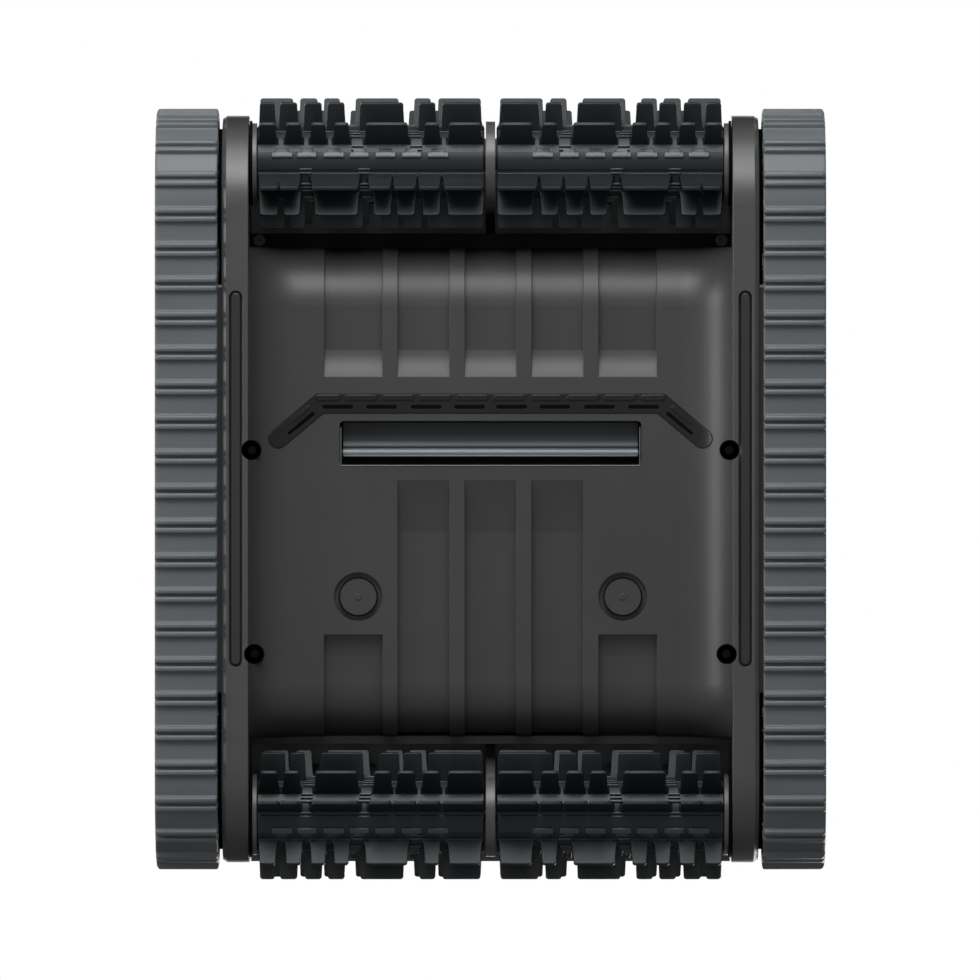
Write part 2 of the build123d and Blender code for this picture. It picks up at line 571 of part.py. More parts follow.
# brush shafts: journal, end disc and the pinion that meets the ring gear
with BuildPart() as left_front_brush_shaft:
    with BuildSketch(Plane.YZ.offset(0.3)):
        with Locations((BRUSH_Y, BRUSH_Z)):
            Circle(4.0)
    extrude(amount=176.5)
    with BuildSketch(Plane.YZ.offset(BRUSH_X0)):
        with Locations((BRUSH_Y, BRUSH_Z)):
            Circle(6.0)
    extrude(amount=141.0)
    with BuildSketch(Plane.YZ.offset(BRUSH_X1)):
        with Locations((BRUSH_Y, BRUSH_Z)):
            Circle(24.3)
    extrude(amount=2.6)
    with BuildSketch(Plane.YZ.offset(165.2)):
        with Locations((BRUSH_Y, BRUSH_Z)):
            Polygon(*gear_outline(PINION_T, MODULE, R_PIN_ROOT, R_PIN_TIP, BRUSH_PHASE, 0.14, False), align=None)
    extrude(amount=11.3)
left_front_brush_shaft.part.label = "left_front_brush_shaft"
export_step(left_front_brush_shaft.part, "parts/left_front_brush_shaft.step")
with BuildPart() as right_front_brush_shaft:
    mirror(left_front_brush_shaft.part, about=Plane.YZ)
right_front_brush_shaft.part.label = "right_front_brush_shaft"
export_step(right_front_brush_shaft.part, "parts/right_front_brush_shaft.step")
with BuildPart() as left_rear_brush_shaft:
    mirror(left_front_brush_shaft.part, about=Plane.XZ)
left_rear_brush_shaft.part.label = "left_rear_brush_shaft"
export_step(left_rear_brush_shaft.part, "parts/left_rear_brush_shaft.step")
with BuildPart() as right_rear_brush_shaft:
    mirror(left_rear_brush_shaft.part, about=Plane.YZ)
right_rear_brush_shaft.part.label = "right_rear_brush_shaft"
export_step(right_rear_brush_shaft.part, "parts/right_rear_brush_shaft.step")

with BuildPart() as brush_bushes:
    with BuildSketch(Plane.YZ.offset(FRAME_IN)):
        with Locations((BRUSH_Y, BRUSH_Z), (-BRUSH_Y, BRUSH_Z)):
            Circle(7.98)
            Circle(4.06, mode=Mode.SUBTRACT)
    extrude(amount=16.0)
    mirror(about=Plane.YZ)
brush_bushes.part.label = "brush_bushes"
export_step(brush_bushes.part, "parts/brush_bushes.step")

# centre bearings between the brush pairs, on an arm from the bulkhead
with BuildPart() as front_brush_bracket:
    with BuildSketch(Plane.YZ.offset(-2.8)):
        with Locations((BRUSH_Y, BRUSH_Z)):
            Circle(25.3)
        with BuildLine():
            Polyline((BRUSH_Y, 66), (158.0, 83.6), (146.3, 83.6), (146.3, 66.2), (154.2, 66.2), (154.2, 58), (176, 26), close=True)
        make_face()
    extrude(amount=5.6)
    with BuildSketch(Plane.YZ.offset(-3)):
        with Locations((BRUSH_Y, BRUSH_Z)):
            Circle(4.06)
    extrude(amount=6, mode=Mode.SUBTRACT)
front_brush_bracket.part.label = "front_brush_bracket"
export_step(front_brush_bracket.part, "parts/front_brush_bracket.step")
with BuildPart() as rear_brush_bracket:
    with BuildSketch(Plane.YZ.offset(-2.8)):
        with Locations((-BRUSH_Y, BRUSH_Z)):
            Circle(25.3)
        with BuildLine():
            Polyline((-BRUSH_Y, 66), (-158.0, 83.6), (-153.6, 83.6), (-153.6, 52), (-176, 26), close=True)
        make_face()
    extrude(amount=5.6)
    with BuildSketch(Plane.YZ.offset(-3)):
        with Locations((-BRUSH_Y, BRUSH_Z)):
            Circle(4.06)
    extrude(amount=6, mode=Mode.SUBTRACT)
rear_brush_bracket.part.label = "rear_brush_bracket"
export_step(rear_brush_bracket.part, "parts/rear_brush_bracket.step")

# ---- inlet flap and its pin ---------------------------------------------
with BuildPart() as inlet_flap:
    with BuildSketch(Plane.YZ.offset(-88.6)):
        with Locations((FLAP_Y, FLAP_Z)):
            Circle(2.35)
        with BuildLine():
            ThreePointArc((FLAP_Y, FLAP_Z - 2.3), (33.0, 31.2), (40.2, 37.6))
            Line((40.2, 37.6), (39.0, 38.6))
            ThreePointArc((39.0, 38.6), (32.2, 33.0), (FLAP_Y, FLAP_Z + 1.0))
            Line((FLAP_Y, FLAP_Z + 1.0), (FLAP_Y, FLAP_Z - 2.3))
        make_face()
    extrude(amount=177.2)
    with BuildSketch(Plane.YZ.offset(-90)):
        with Locations((FLAP_Y, FLAP_Z)):
            Circle(1.25)
    extrude(amount=180, mode=Mode.SUBTRACT)
inlet_flap.part.label = "inlet_flap"
export_step(inlet_flap.part, "parts/inlet_flap.step")

with BuildPart() as flap_pin:
    with BuildSketch(Plane.YZ.offset(-94.6)):
        with Locations((FLAP_Y, FLAP_Z)):
            Circle(1.2)
    extrude(amount=189.2)
flap_pin.part.label = "flap_pin"
export_step(flap_pin.part, "parts/flap_pin.step")

with BuildPart() as inlet_duct:
    with BuildSketch(Plane.XY.offset(PAN_TOP)):
        with Locations((0, 27.5)):
            RectangleRounded(194, 40, 5)
            RectangleRounded(186, 32, 4, mode=Mode.SUBTRACT)
    extrude(amount=34)
    with BuildSketch(Plane.XY.offset(PAN_TOP)):
        with Locations((0, 27.5)):
            RectangleRounded(206, 46, 5)
            RectangleRounded(186, 32, 4, mode=Mode.SUBTRACT)
    extrude(amount=3)
inlet_duct.part.label = "inlet_duct"
export_step(inlet_duct.part, "parts/inlet_duct.step")

# ---- fasteners under the belly ------------------------------------------
with BuildPart() as belly_screws:
    with BuildSketch(Plane.XY.offset(31)):
        with Locations(*[(sx * x, y) for x, y in WELLS for sx in (1, -1)]):
            Circle(4.2)
            RegularPolygon(1.8, 6, mode=Mode.SUBTRACT)
    extrude(amount=3)
    with BuildSketch(Plane.XY.offset(32.4)):
        with Locations(*[(sx * x, y) for x, y in WELLS for sx in (1, -1)]):
            Circle(2.1)
    extrude(amount=20)
    with BuildSketch(Plane.XY.offset(56.8)):
        with Locations(*[(sx * x, y) for x, y in LIP_SCREWS for sx in (1, -1)]):
            Circle(3.6)
            RegularPolygon(1.6, 6, mode=Mode.SUBTRACT)
    extrude(amount=3)
    with BuildSketch(Plane.XY.offset(58.4)):
        with Locations(*[(sx * x, y) for x, y in LIP_SCREWS for sx in (1, -1)]):
            Circle(2.1)
    extrude(amount=14)
belly_screws.part.label = "belly_screws"
export_step(belly_screws.part, "parts/belly_screws.step")

# ---- sealed dry box and what it holds -----------------------------------
with BuildPart() as dry_box:
    with BuildSketch(Plane.XY.offset(PAN_TOP)):
        with Locations((0, -65)):
            RectangleRounded(244, 104, 8)
    extrude(amount=86)
    with BuildSketch(Plane.XY.offset(PAN_TOP + 3)):
        with Locations((0, -65)):
            RectangleRounded(238, 98, 5)
    extrude(amount=90, mode=Mode.SUBTRACT)
dry_box.part.label = "dry_box"
export_step(dry_box.part, "parts/dry_box.step")

with BuildPart() as dry_box_seal:
    with BuildSketch(Plane.XY.offset(124)):
        with Locations((0, -65)):
            RectangleRounded(243, 103, 7.5)
            RectangleRounded(239, 99, 5.5, mode=Mode.SUBTRACT)
    extrude(amount=1.5)
dry_box_seal.part.label = "dry_box_seal"
export_step(dry_box_seal.part, "parts/dry_box_seal.step")

PUMP_Y = -65.0
with BuildPart() as dry_box_lid:
    with BuildSketch(Plane.XY.offset(125.5)):
        with Locations((0, -65)):
            RectangleRounded(248, 108, 9)
    extrude(amount=3.5)
    with BuildSketch(Plane.XY.offset(120)):
        with Locations((0, PUMP_Y)):
            Circle(3.6)
    extrude(amount=15, mode=Mode.SUBTRACT)
dry_box_lid.part.label = "dry_box_lid"
export_step(dry_box_lid.part, "parts/dry_box_lid.step")

with BuildPart() as battery_pack:
    with BuildSketch(Plane.XY.offset(PAN_TOP + 3)):
        with Locations((72, -65), (-72, -65)):
            RectangleRounded(90, 88, 6)
    extrude(amount=42)
battery_pack.part.label = "battery_pack"
export_step(battery_pack.part, "parts/battery_pack.step")

with BuildPart() as control_board:
    with BuildSketch(Plane.XY.offset(96)):
        with Locations((0, -65)):
            RectangleRounded(228, 88, 3)
        with Locations((0, PUMP_Y)):
            Circle(21, mode=Mode.SUBTRACT)
    extrude(amount=1.6)
    with BuildSketch(Plane.XY.offset(97.6)):
        with Locations((60, -55), (-60, -75)):
            Rectangle(22, 22)
        with Locations((85, -85), (-85, -45), (40, -95)):
            Rectangle(14, 9)
    extrude(amount=4)
    with BuildSketch(Plane.XY.offset(83)):
        with Locations((108, -100), (-108, -100), (108, -30), (-108, -30)):
            Circle(3)
    extrude(amount=13)
control_board.part.label = "control_board"
export_step(control_board.part, "parts/control_board.step")

with BuildPart() as pump_motor:
    with BuildSketch(Plane.XY.offset(PAN_TOP + 3)):
        with Locations((0, PUMP_Y)):
            Circle(18)
    extrude(amount=72)
    with BuildSketch(Plane.XY.offset(113)):
        with Locations((0, PUMP_Y)):
            Circle(9)
    extrude(amount=12.5)
pump_motor.part.label = "pump_motor"
export_step(pump_motor.part, "parts/pump_motor.step")

# ---- impeller, its housing and the outlet -------------------------------
with BuildPart() as impeller:
    with BuildSketch(Plane.XY.offset(125.7)):
        with Locations((0, PUMP_Y)):
            Circle(3.0)
    extrude(amount=45)
    with BuildSketch(Plane.XY.offset(146)):
        with Locations((0, PUMP_Y)):
            Circle(9.0)
    extrude(amount=22)
    for k in range(5):
        blade_plane = Plane(origin=(0, PUMP_Y, 157), x_dir=(math.cos(k * 2 * math.pi / 5), math.sin(k * 2 * math.pi / 5), 0), z_dir=(0, 0, 1))
        blade_plane = Plane(origin=blade_plane.origin + blade_plane.x_dir * 7.5, x_dir=blade_plane.y_dir, z_dir=blade_plane.x_dir)
        with BuildSketch(blade_plane):
            Rectangle(22, 2.2, rotation=28)
        extrude(amount=22)
impeller.part.label = "impeller"
export_step(impeller.part, "parts/impeller.step")

with BuildPart() as pump_housing:
    with BuildSketch(Plane.XY.offset(129)):
        with Locations((0, PUMP_Y)):
            Circle(36)
            Circle(33, mode=Mode.SUBTRACT)
    extrude(amount=61)
    with BuildSketch(Plane.XY.offset(129)):
        with Locations((0, PUMP_Y)):
            Circle(41)
            Circle(33, mode=Mode.SUBTRACT)
    extrude(amount=3)
    # suction windows round the foot
    with BuildSketch(Plane.XY.offset(133)):
        with Locations((0, PUMP_Y)):
            with PolarLocations(34, 4, start_angle=45):
                Rectangle(12, 26)
    extrude(amount=10, mode=Mode.SUBTRACT)
pump_housing.part.label = "pump_housing"
export_step(pump_housing.part, "parts/pump_housing.step")

with BuildPart() as outlet_grille:
    with BuildSketch(Plane.XY.offset(192.6)):
        with Locations((0, PUMP_Y)):
            Circle(37.7)
            Circle(34.0, mode=Mode.SUBTRACT)
            Circle(24.5)
            Circle(22.5, mode=Mode.SUBTRACT)
            Circle(13)
            Circle(11, mode=Mode.SUBTRACT)
            with PolarLocations(0, 12):
                with Locations((20.5, 0)):
                    Rectangle(31, 2.0)
            Circle(7.5)
    extrude(amount=3.0)
outlet_grille.part.label = "outlet_grille"
export_step(outlet_grille.part, "parts/outlet_grille.step")

# ---- drive motors and their pinions -------------------------------------
with BuildPart() as left_drive_motor:
    with BuildSketch(Plane.YZ.offset(60)):
        with Locations((-MOTOR_Y, AXLE_Z)):
            Circle(10.4)
    extrude(amount=76)
    with BuildSketch(Plane.YZ.offset(136)):
        with Locations((-MOTOR_Y, AXLE_Z)):
            Circle(8.4)
    extrude(amount=8.6)
left_drive_motor.part.label = "left_drive_motor"
export_step(left_drive_motor.part, "parts/left_drive_motor.step")
with BuildPart() as right_drive_motor:
    mirror(left_drive_motor.part, about=Plane.YZ)
right_drive_motor.part.label = "right_drive_motor"
export_step(right_drive_motor.part, "parts/right_drive_motor.step")

with BuildPart() as left_drive_pinion:
    with BuildSketch(Plane.YZ.offset(144.8)):
        with Locations((-MOTOR_Y, AXLE_Z)):
            Circle(3.0)
    extrude(amount=31.7)
    with BuildSketch(Plane.YZ.offset(165.2)):
        with Locations((-MOTOR_Y, AXLE_Z)):
            Polygon(*gear_outline(PINION_T, MODULE, R_PIN_ROOT, R_PIN_TIP, 0, 0.14, False), align=None)
    extrude(amount=11.3)
left_drive_pinion.part.label = "left_drive_pinion"
export_step(left_drive_pinion.part, "parts/left_drive_pinion.step")
with BuildPart() as right_drive_pinion:
    mirror(left_drive_pinion.part, about=Plane.YZ)
right_drive_pinion.part.label = "right_drive_pinion"
export_step(right_drive_pinion.part, "parts/right_drive_pinion.step")

with BuildPart() as motor_shaft_seals:
    with BuildSketch(Plane.YZ.offset(FRAME_IN)):
        with Locations((-MOTOR_Y, AXLE_Z)):
            Circle(5.98)
            Circle(3.06, mode=Mode.SUBTRACT)
    extrude(amount=6)
    mirror(about=Plane.YZ)
motor_shaft_seals.part.label = "motor_shaft_seals"
export_step(motor_shaft_seals.part, "parts/motor_shaft_seals.step")

# ---- upper shell --------------------------------------------------------
LID_X, LID_Y0, LID_Y1 = 112.0, 2.0, 138.0


def shell_side(inset):
    """Side silhouette: low over the brushes, curving up to a flat top."""
    i = inset
    rf, rr = 76 - i, 86 - i
    k = math.sqrt(0.5)
    with BuildLine(mode=Mode.PRIVATE) as o:
        Line((136 + rf, 84 - 2 * i), (136 + rf, 120))
        ThreePointArc((136 + rf, 120), (136 + rf * k, 120 + rf * k), (136, 120 + rf))
        Line((136, 120 + rf), (-139, 110 + rr))
        ThreePointArc((-139, 110 + rr), (-139 - rr * k, 110 + rr * k), (-139 - rr, 110))
        Line((-139 - rr, 110), (-139 - rr, 84 - 2 * i))
        Line((-139 - rr, 84 - 2 * i), (136 + rf, 84 - 2 * i))
    return o.wires()[0]


with BuildPart() as shell_cavity:
    with BuildSketch(Plane.YZ.offset(-SHELL_X + WALL)):
        make_face(shell_side(WALL))
    extrude(amount=2 * (SHELL_X - WALL))
    with BuildSketch(Plane.XZ.offset(-240)):
        with Locations((0, (SHELL_TOP - WALL) / 2)):
            RectangleRounded(2 * (SHELL_X - WALL), SHELL_TOP - WALL, 30 - WALL)
    extrude(amount=480, mode=Mode.INTERSECT)

with BuildPart() as upper_shell:
    with BuildSketch(Plane.YZ.offset(-SHELL_X)):
        make_face(shell_side(0))
    extrude(amount=2 * SHELL_X)
    with BuildSketch(Plane.XZ.offset(-240)):
        with Locations((0, SHELL_TOP / 2)):
            RectangleRounded(2 * SHELL_X, SHELL_TOP, 30)
    extrude(amount=480, mode=Mode.INTERSECT)
    add(shell_cavity.part, mode=Mode.SUBTRACT)
    # undersides of the hoods over the brushes
    with BuildSketch(Plane.XY.offset(84)):
        with Locations((0, (SHELL_YF - 1 + 146.3) / 2)):
            Rectangle(2 * SHELL_X - 2, SHELL_YF - 1 - 146.3)
        with Locations((0, (SHELL_YR + 1 - 153.6) / 2)):
            Rectangle(2 * SHELL_X - 2, -SHELL_YR - 1 - 153.6)
    extrude(amount=3)
    # service opening with a rebate for the lid
    with BuildSketch(Plane.XY.offset(SHELL_TOP - 20)):
        with Locations((0, (LID_Y0 + LID_Y1) / 2)):
            RectangleRounded(2 * (LID_X - 7), LID_Y1 - LID_Y0 - 14, 8)
    extrude(amount=30, mode=Mode.SUBTRACT)
    with BuildSketch(Plane.XY.offset(SHELL_TOP - 10)):
        with Locations((0, (LID_Y0 + LID_Y1) / 2)):
            RectangleRounded(2 * (LID_X + 2.5), LID_Y1 - LID_Y0 + 5, 16)
            RectangleRounded(2 * (LID_X - 7), LID_Y1 - LID_Y0 - 14, 8, mode=Mode.SUBTRACT)
    extrude(amount=8)
    with BuildSketch(Plane.XY.offset(SHELL_TOP - 3.4)):
        with Locations((0, (LID_Y0 + LID_Y1) / 2)):
            RectangleRounded(2 * (LID_X + 0.6), LID_Y1 - LID_Y0 + 1.2, 14)
    extrude(amount=10, mode=Mode.SUBTRACT)
    # openings for the outlet grille, the button, the light and the charging socket
    with BuildSketch(Plane.XY.offset(SHELL_TOP - 8)):
        with Locations((0, PUMP_Y)):
            Circle(38)
        with Locations((78, -62)):
            Circle(11)
        with Locations((-78, -62)):
            RectangleRounded(36, 8, 3.9)
        with Locations((0, -132)):
            Circle(12)
    extrude(amount=12, mode=Mode.SUBTRACT)
    # hinge pads, knuckles and the pockets that the lid's knuckles turn in
    with BuildSketch(Plane.XY.offset(SHELL_TOP - 8)):
        with Locations((75.5, -6.0), (-75.5, -6.0)):
            Rectangle(56, 13)
    extrude(amount=6.5)
    for x0 in (-101.0, -64.0, 50.0, 87.0):
        with BuildSketch(Plane.YZ.offset(x0)):
            with Locations((-6.0, SHELL_TOP + 2.2)):
                Circle(4.0)
            with Locations((-6.0, SHELL_TOP - 0.4)):
                Rectangle(7.0, 5.2)
        extrude(amount=14)
    with BuildSketch(Plane.YZ.offset(-87.0)):
        with Locations((-6.0, SHELL_TOP + 2.2)):
            Circle(4.4)
        with Locations((-1.0, SHELL_TOP + 2.0)):
            Rectangle(9.0, 7.6)
    extrude(amount=23.0, mode=Mode.SUBTRACT)
    with BuildSketch(Plane.YZ.offset(64.0)):
        with Locations((-6.0, SHELL_TOP + 2.2)):
            Circle(4.4)
        with Locations((-1.0, SHELL_TOP + 2.0)):
            Rectangle(9.0, 7.6)
    extrude(amount=23.0, mode=Mode.SUBTRACT)
    with BuildSketch(Plane.YZ.offset(-110)):
        with Locations((-6.0, SHELL_TOP + 2.2)):
            Circle(1.5)
    extrude(amount=220, mode=Mode.SUBTRACT)
    # carrying handle posts are screwed here
    with BuildSketch(Plane.XY.offset(SHELL_TOP - 12)):
        with Locations((70, -104), (-70, -104)):
            Circle(2.5)
    extrude(amount=20, mode=Mode.SUBTRACT)
upper_shell.part.label = "upper_shell"
export_step(upper_shell.part, "parts/upper_shell.step")

with BuildPart() as top_lid:
    with BuildSketch(Plane.XY.offset(SHELL_TOP - 3.3)):
        with Locations((0, (LID_Y0 + LID_Y1) / 2)):
            RectangleRounded(2 * LID_X, LID_Y1 - LID_Y0, 13.4)
    extrude(amount=4.5)
    fillet(top_lid.faces().sort_by(Axis.Z)[-1].edges(), 1.6)
    for x0 in (-86.7, 64.3):
        with BuildSketch(Plane.YZ.offset(x0)):
            with Locations((-6.0, SHELL_TOP + 2.2)):
                Circle(3.9)
            with BuildLine():
                Polyline((-6.0, SHELL_TOP + 6.1), (8, SHELL_TOP + 1.0), (8, SHELL_TOP - 1.0), (2.4, SHELL_TOP - 0.4), (-4.6, SHELL_TOP - 1.2), close=True)
            make_face()
        extrude(amount=22.4)
    with BuildSketch(Plane.YZ.offset(-110)):
        with Locations((-6.0, SHELL_TOP + 2.2)):
            Circle(1.55)
    extrude(amount=220, mode=Mode.SUBTRACT)
    # finger scoop at the front edge
    with BuildSketch(Plane.XY.offset(SHELL_TOP - 0.6)):
        with Locations((0, LID_Y1 - 9)):
            SlotOverall(52, 11)
    extrude(amount=5, mode=Mode.SUBTRACT)
top_lid.part.label = "top_lid"
export_step(top_lid.part, "parts/top_lid.step")

with BuildPart() as lid_hinge_pins:
    for x0 in (-101.0, 50.0):
        with BuildSketch(Plane.YZ.offset(x0)):
            with Locations((-6.0, SHELL_TOP + 2.2)):
                Circle(1.5)
        extrude(amount=51)
lid_hinge_pins.part.label = "lid_hinge_pins"
export_step(lid_hinge_pins.part, "parts/lid_hinge_pins.step")

with BuildPart() as filter_basket:
    with BuildSketch(Plane.XY.offset(73)):
        with Locations((0, 70)):
            RectangleRounded(204, 116, 10)
    extrude(amount=112)
    with BuildSketch(Plane.XY.offset(76)):
        with Locations((0, 70)):
            RectangleRounded(198, 110, 7)
    extrude(amount=112, mode=Mode.SUBTRACT)
    # throat over the inlet duct
    with BuildSketch(Plane.XY.offset(70)):
        with Locations((0, 29)):
            RectangleRounded(180, 26, 4)
    extrude(amount=12, mode=Mode.SUBTRACT)
    # mesh windows in the long sides
    with BuildSketch(Plane.XZ.offset(-140)):
        with Locations((0, 132)):
            with GridLocations(31, 34, 6, 2):
                RectangleRounded(25, 28, 3)
    extrude(amount=140, mode=Mode.SUBTRACT)
filter_basket.part.label = "filter_basket"
export_step(filter_basket.part, "parts/filter_basket.step")

with BuildPart() as filter_mesh:
    with BuildSketch(Plane.XY.offset(95)):
        with Locations((0, 70)):
            RectangleRounded(197.6, 109.6, 6.8)
            RectangleRounded(196.0, 108.0, 6.0, mode=Mode.SUBTRACT)
    extrude(amount=80)
filter_mesh.part.label = "filter_mesh"
export_step(filter_mesh.part, "parts/filter_mesh.step")

with BuildPart() as carry_handle:
    with BuildSketch(Plane.XZ.offset(104 - 11)):
        with BuildLine():
            Polyline((-82, SHELL_TOP), (-82, 214), (-70, 228), (70, 228), (82, 214), (82, SHELL_TOP), (66, SHELL_TOP), (66, 210), (60, 216), (-60, 216), (-66, 210), (-66, SHELL_TOP), close=True)
        make_face()
    extrude(amount=22)
    fillet(carry_handle.edges().filter_by(Axis.Y), 3.0)
    with BuildSketch(Plane.XY.offset(SHELL_TOP - 9)):
        with Locations((70, -104), (-70, -104)):
            Circle(2.4)
    extrude(amount=10)
carry_handle.part.label = "carry_handle"
export_step(carry_handle.part, "parts/carry_handle.step")

with BuildPart() as power_button:
    with BuildSketch(Plane.XY.offset(SHELL_TOP - 5.5)):
        with Locations((78, -62)):
            Circle(10.6)
    extrude(amount=7.0)
    fillet(power_button.faces().sort_by(Axis.Z)[-1].edges(), 1.2)
power_button.part.label = "power_button"
export_step(power_button.part, "parts/power_button.step")

with BuildPart() as status_light:
    with BuildSketch(Plane.XY.offset(SHELL_TOP - 4)):
        with Locations((-78, -62)):
            RectangleRounded(35.6, 7.6, 3.7)
    extrude(amount=4.2)
status_light.part.label = "status_light"
export_step(status_light.part, "parts/status_light.step")

with BuildPart() as charging_socket:
    with BuildSketch(Plane.XY.offset(SHELL_TOP - 16)):
        with Locations((0, -132)):
            Circle(11.9)
    extrude(amount=15)
    with BuildSketch(Plane.XY.offset(SHELL_TOP - 11)):
        with Locations((0, -132)):
            Circle(8.5)
    extrude(amount=20, mode=Mode.SUBTRACT)
    with BuildSketch(Plane.XY.offset(SHELL_TOP - 12)):
        with Locations((3.2, -132), (-3.2, -132)):
            Circle(1.0)
    extrude(amount=8)
charging_socket.part.label = "charging_socket"
export_step(charging_socket.part, "parts/charging_socket.step")
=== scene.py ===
import bpy, bmesh, json, math
from mathutils import Vector, Matrix


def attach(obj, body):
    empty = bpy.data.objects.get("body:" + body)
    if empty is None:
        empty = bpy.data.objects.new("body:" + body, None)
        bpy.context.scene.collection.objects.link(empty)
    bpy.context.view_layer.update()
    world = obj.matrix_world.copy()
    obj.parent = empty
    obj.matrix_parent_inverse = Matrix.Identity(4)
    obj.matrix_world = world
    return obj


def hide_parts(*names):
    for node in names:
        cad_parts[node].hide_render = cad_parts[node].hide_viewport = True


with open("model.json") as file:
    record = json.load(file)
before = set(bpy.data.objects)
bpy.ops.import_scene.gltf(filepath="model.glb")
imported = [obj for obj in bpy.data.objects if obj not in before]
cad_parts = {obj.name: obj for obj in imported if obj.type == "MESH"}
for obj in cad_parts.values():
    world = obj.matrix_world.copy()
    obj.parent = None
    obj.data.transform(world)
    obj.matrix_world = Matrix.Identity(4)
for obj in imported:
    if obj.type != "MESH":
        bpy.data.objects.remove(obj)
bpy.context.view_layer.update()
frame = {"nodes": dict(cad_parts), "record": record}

nodes = frame["nodes"]
MM = 0.001

# ---------------------------------------------------------------- dimensions
AXLE_Y, AXLE_Z = 170.8, 58.4
PITCH = 20.7
R_PITCH = 16 * PITCH / (2 * math.pi)
R_IN, R_BELT, R_TREAD = 50.9, 55.4, 58.4
TRACK_IN, TRACK_OUT = 163.5, 201.0
BRUSH_Y, BRUSH_Z = 195.8, 40.495
BRUSH_R, CORE_R = 39.4, 22.0
REAR_TURN = 12.0

ROWS = [
    (36, [(138.4, 128.9), (122.5, 113.5), (107.5, 99.1), (93.6, 85.1), (74.7, 49.8), (39.4, 30.9), (24.7, 6.0)]),
    (66, [(138.5, 129.5), (126.4, 116.0), (111.5, 101.3), (97.7, 87.6), (78.2, 52.3), (42.8, 33.1), (28.9, 6.0)]),
    (96, [(138.5, 118.7), (114.5, 104.0), (100.1, 90.6), (81.1, 55.3), (45.8, 35.9), (31.4, 5.8)]),
    (126, [(138.5, 122.0), (117.6, 107.5), (103.4, 93.9), (84.3, 58.5), (49.0, 39.0), (34.6, 5.8)]),
    (156, [(138.5, 125.0), (120.8, 110.7), (106.6, 97.0), (87.5, 61.7), (52.2, 42.2), (37.8, 5.8)]),
    (186, [(138.5, 128.0), (124.0, 114.0), (109.8, 100.2), (90.7, 64.9), (55.4, 45.4), (41.0, 31.0), (26.4, 5.8)]),
    (216, [(138.5, 120.0), (114.5, 104.0), (95.0, 69.5), (60.0, 49.0), (46.0, 35.5), (31.0, 5.8)]),
    (246, [(138.5, 121.5), (117.0, 107.5), (98.5, 73.0), (63.5, 52.5), (49.0, 38.5), (34.0, 5.0)]),
    (276, [(138.3, 123.4), (120.5, 111.5), (102.1, 76.7), (66.7, 54.9), (52.3, 41.3), (37.5, 4.5)]),
    (306, [(138.3, 127.5), (123.9, 114.5), (105.0, 79.7), (69.7, 59.7), (55.8, 45.3), (40.5, 30.4), (25.5, 4.5)]),
    (336, [(138.5, 126.9), (126.4, 114.5), (107.1, 79.1), (72.7, 59.7), (57.9, 44.8), (42.9, 30.4), (27.9, 4.0)]),
]
LADDER_A = [79.9, 82.9, 85.8, 89.0, 92.3, 95.5, 99.5, 103.0, 106.8, 109.8, 110.8]
LADDER_B = [44.6, 47.5, 50.5, 53.8, 57.0, 60.2, 64.8, 68.3, 71.7, 74.7, 75.9]
TABS = [(131.4, 118.5), (116.1, 104.1), (100.5, 87.6), (84.6, 72.7), (69.3, 56.7), (53.3, 41.3), (37.9, 24.9)]


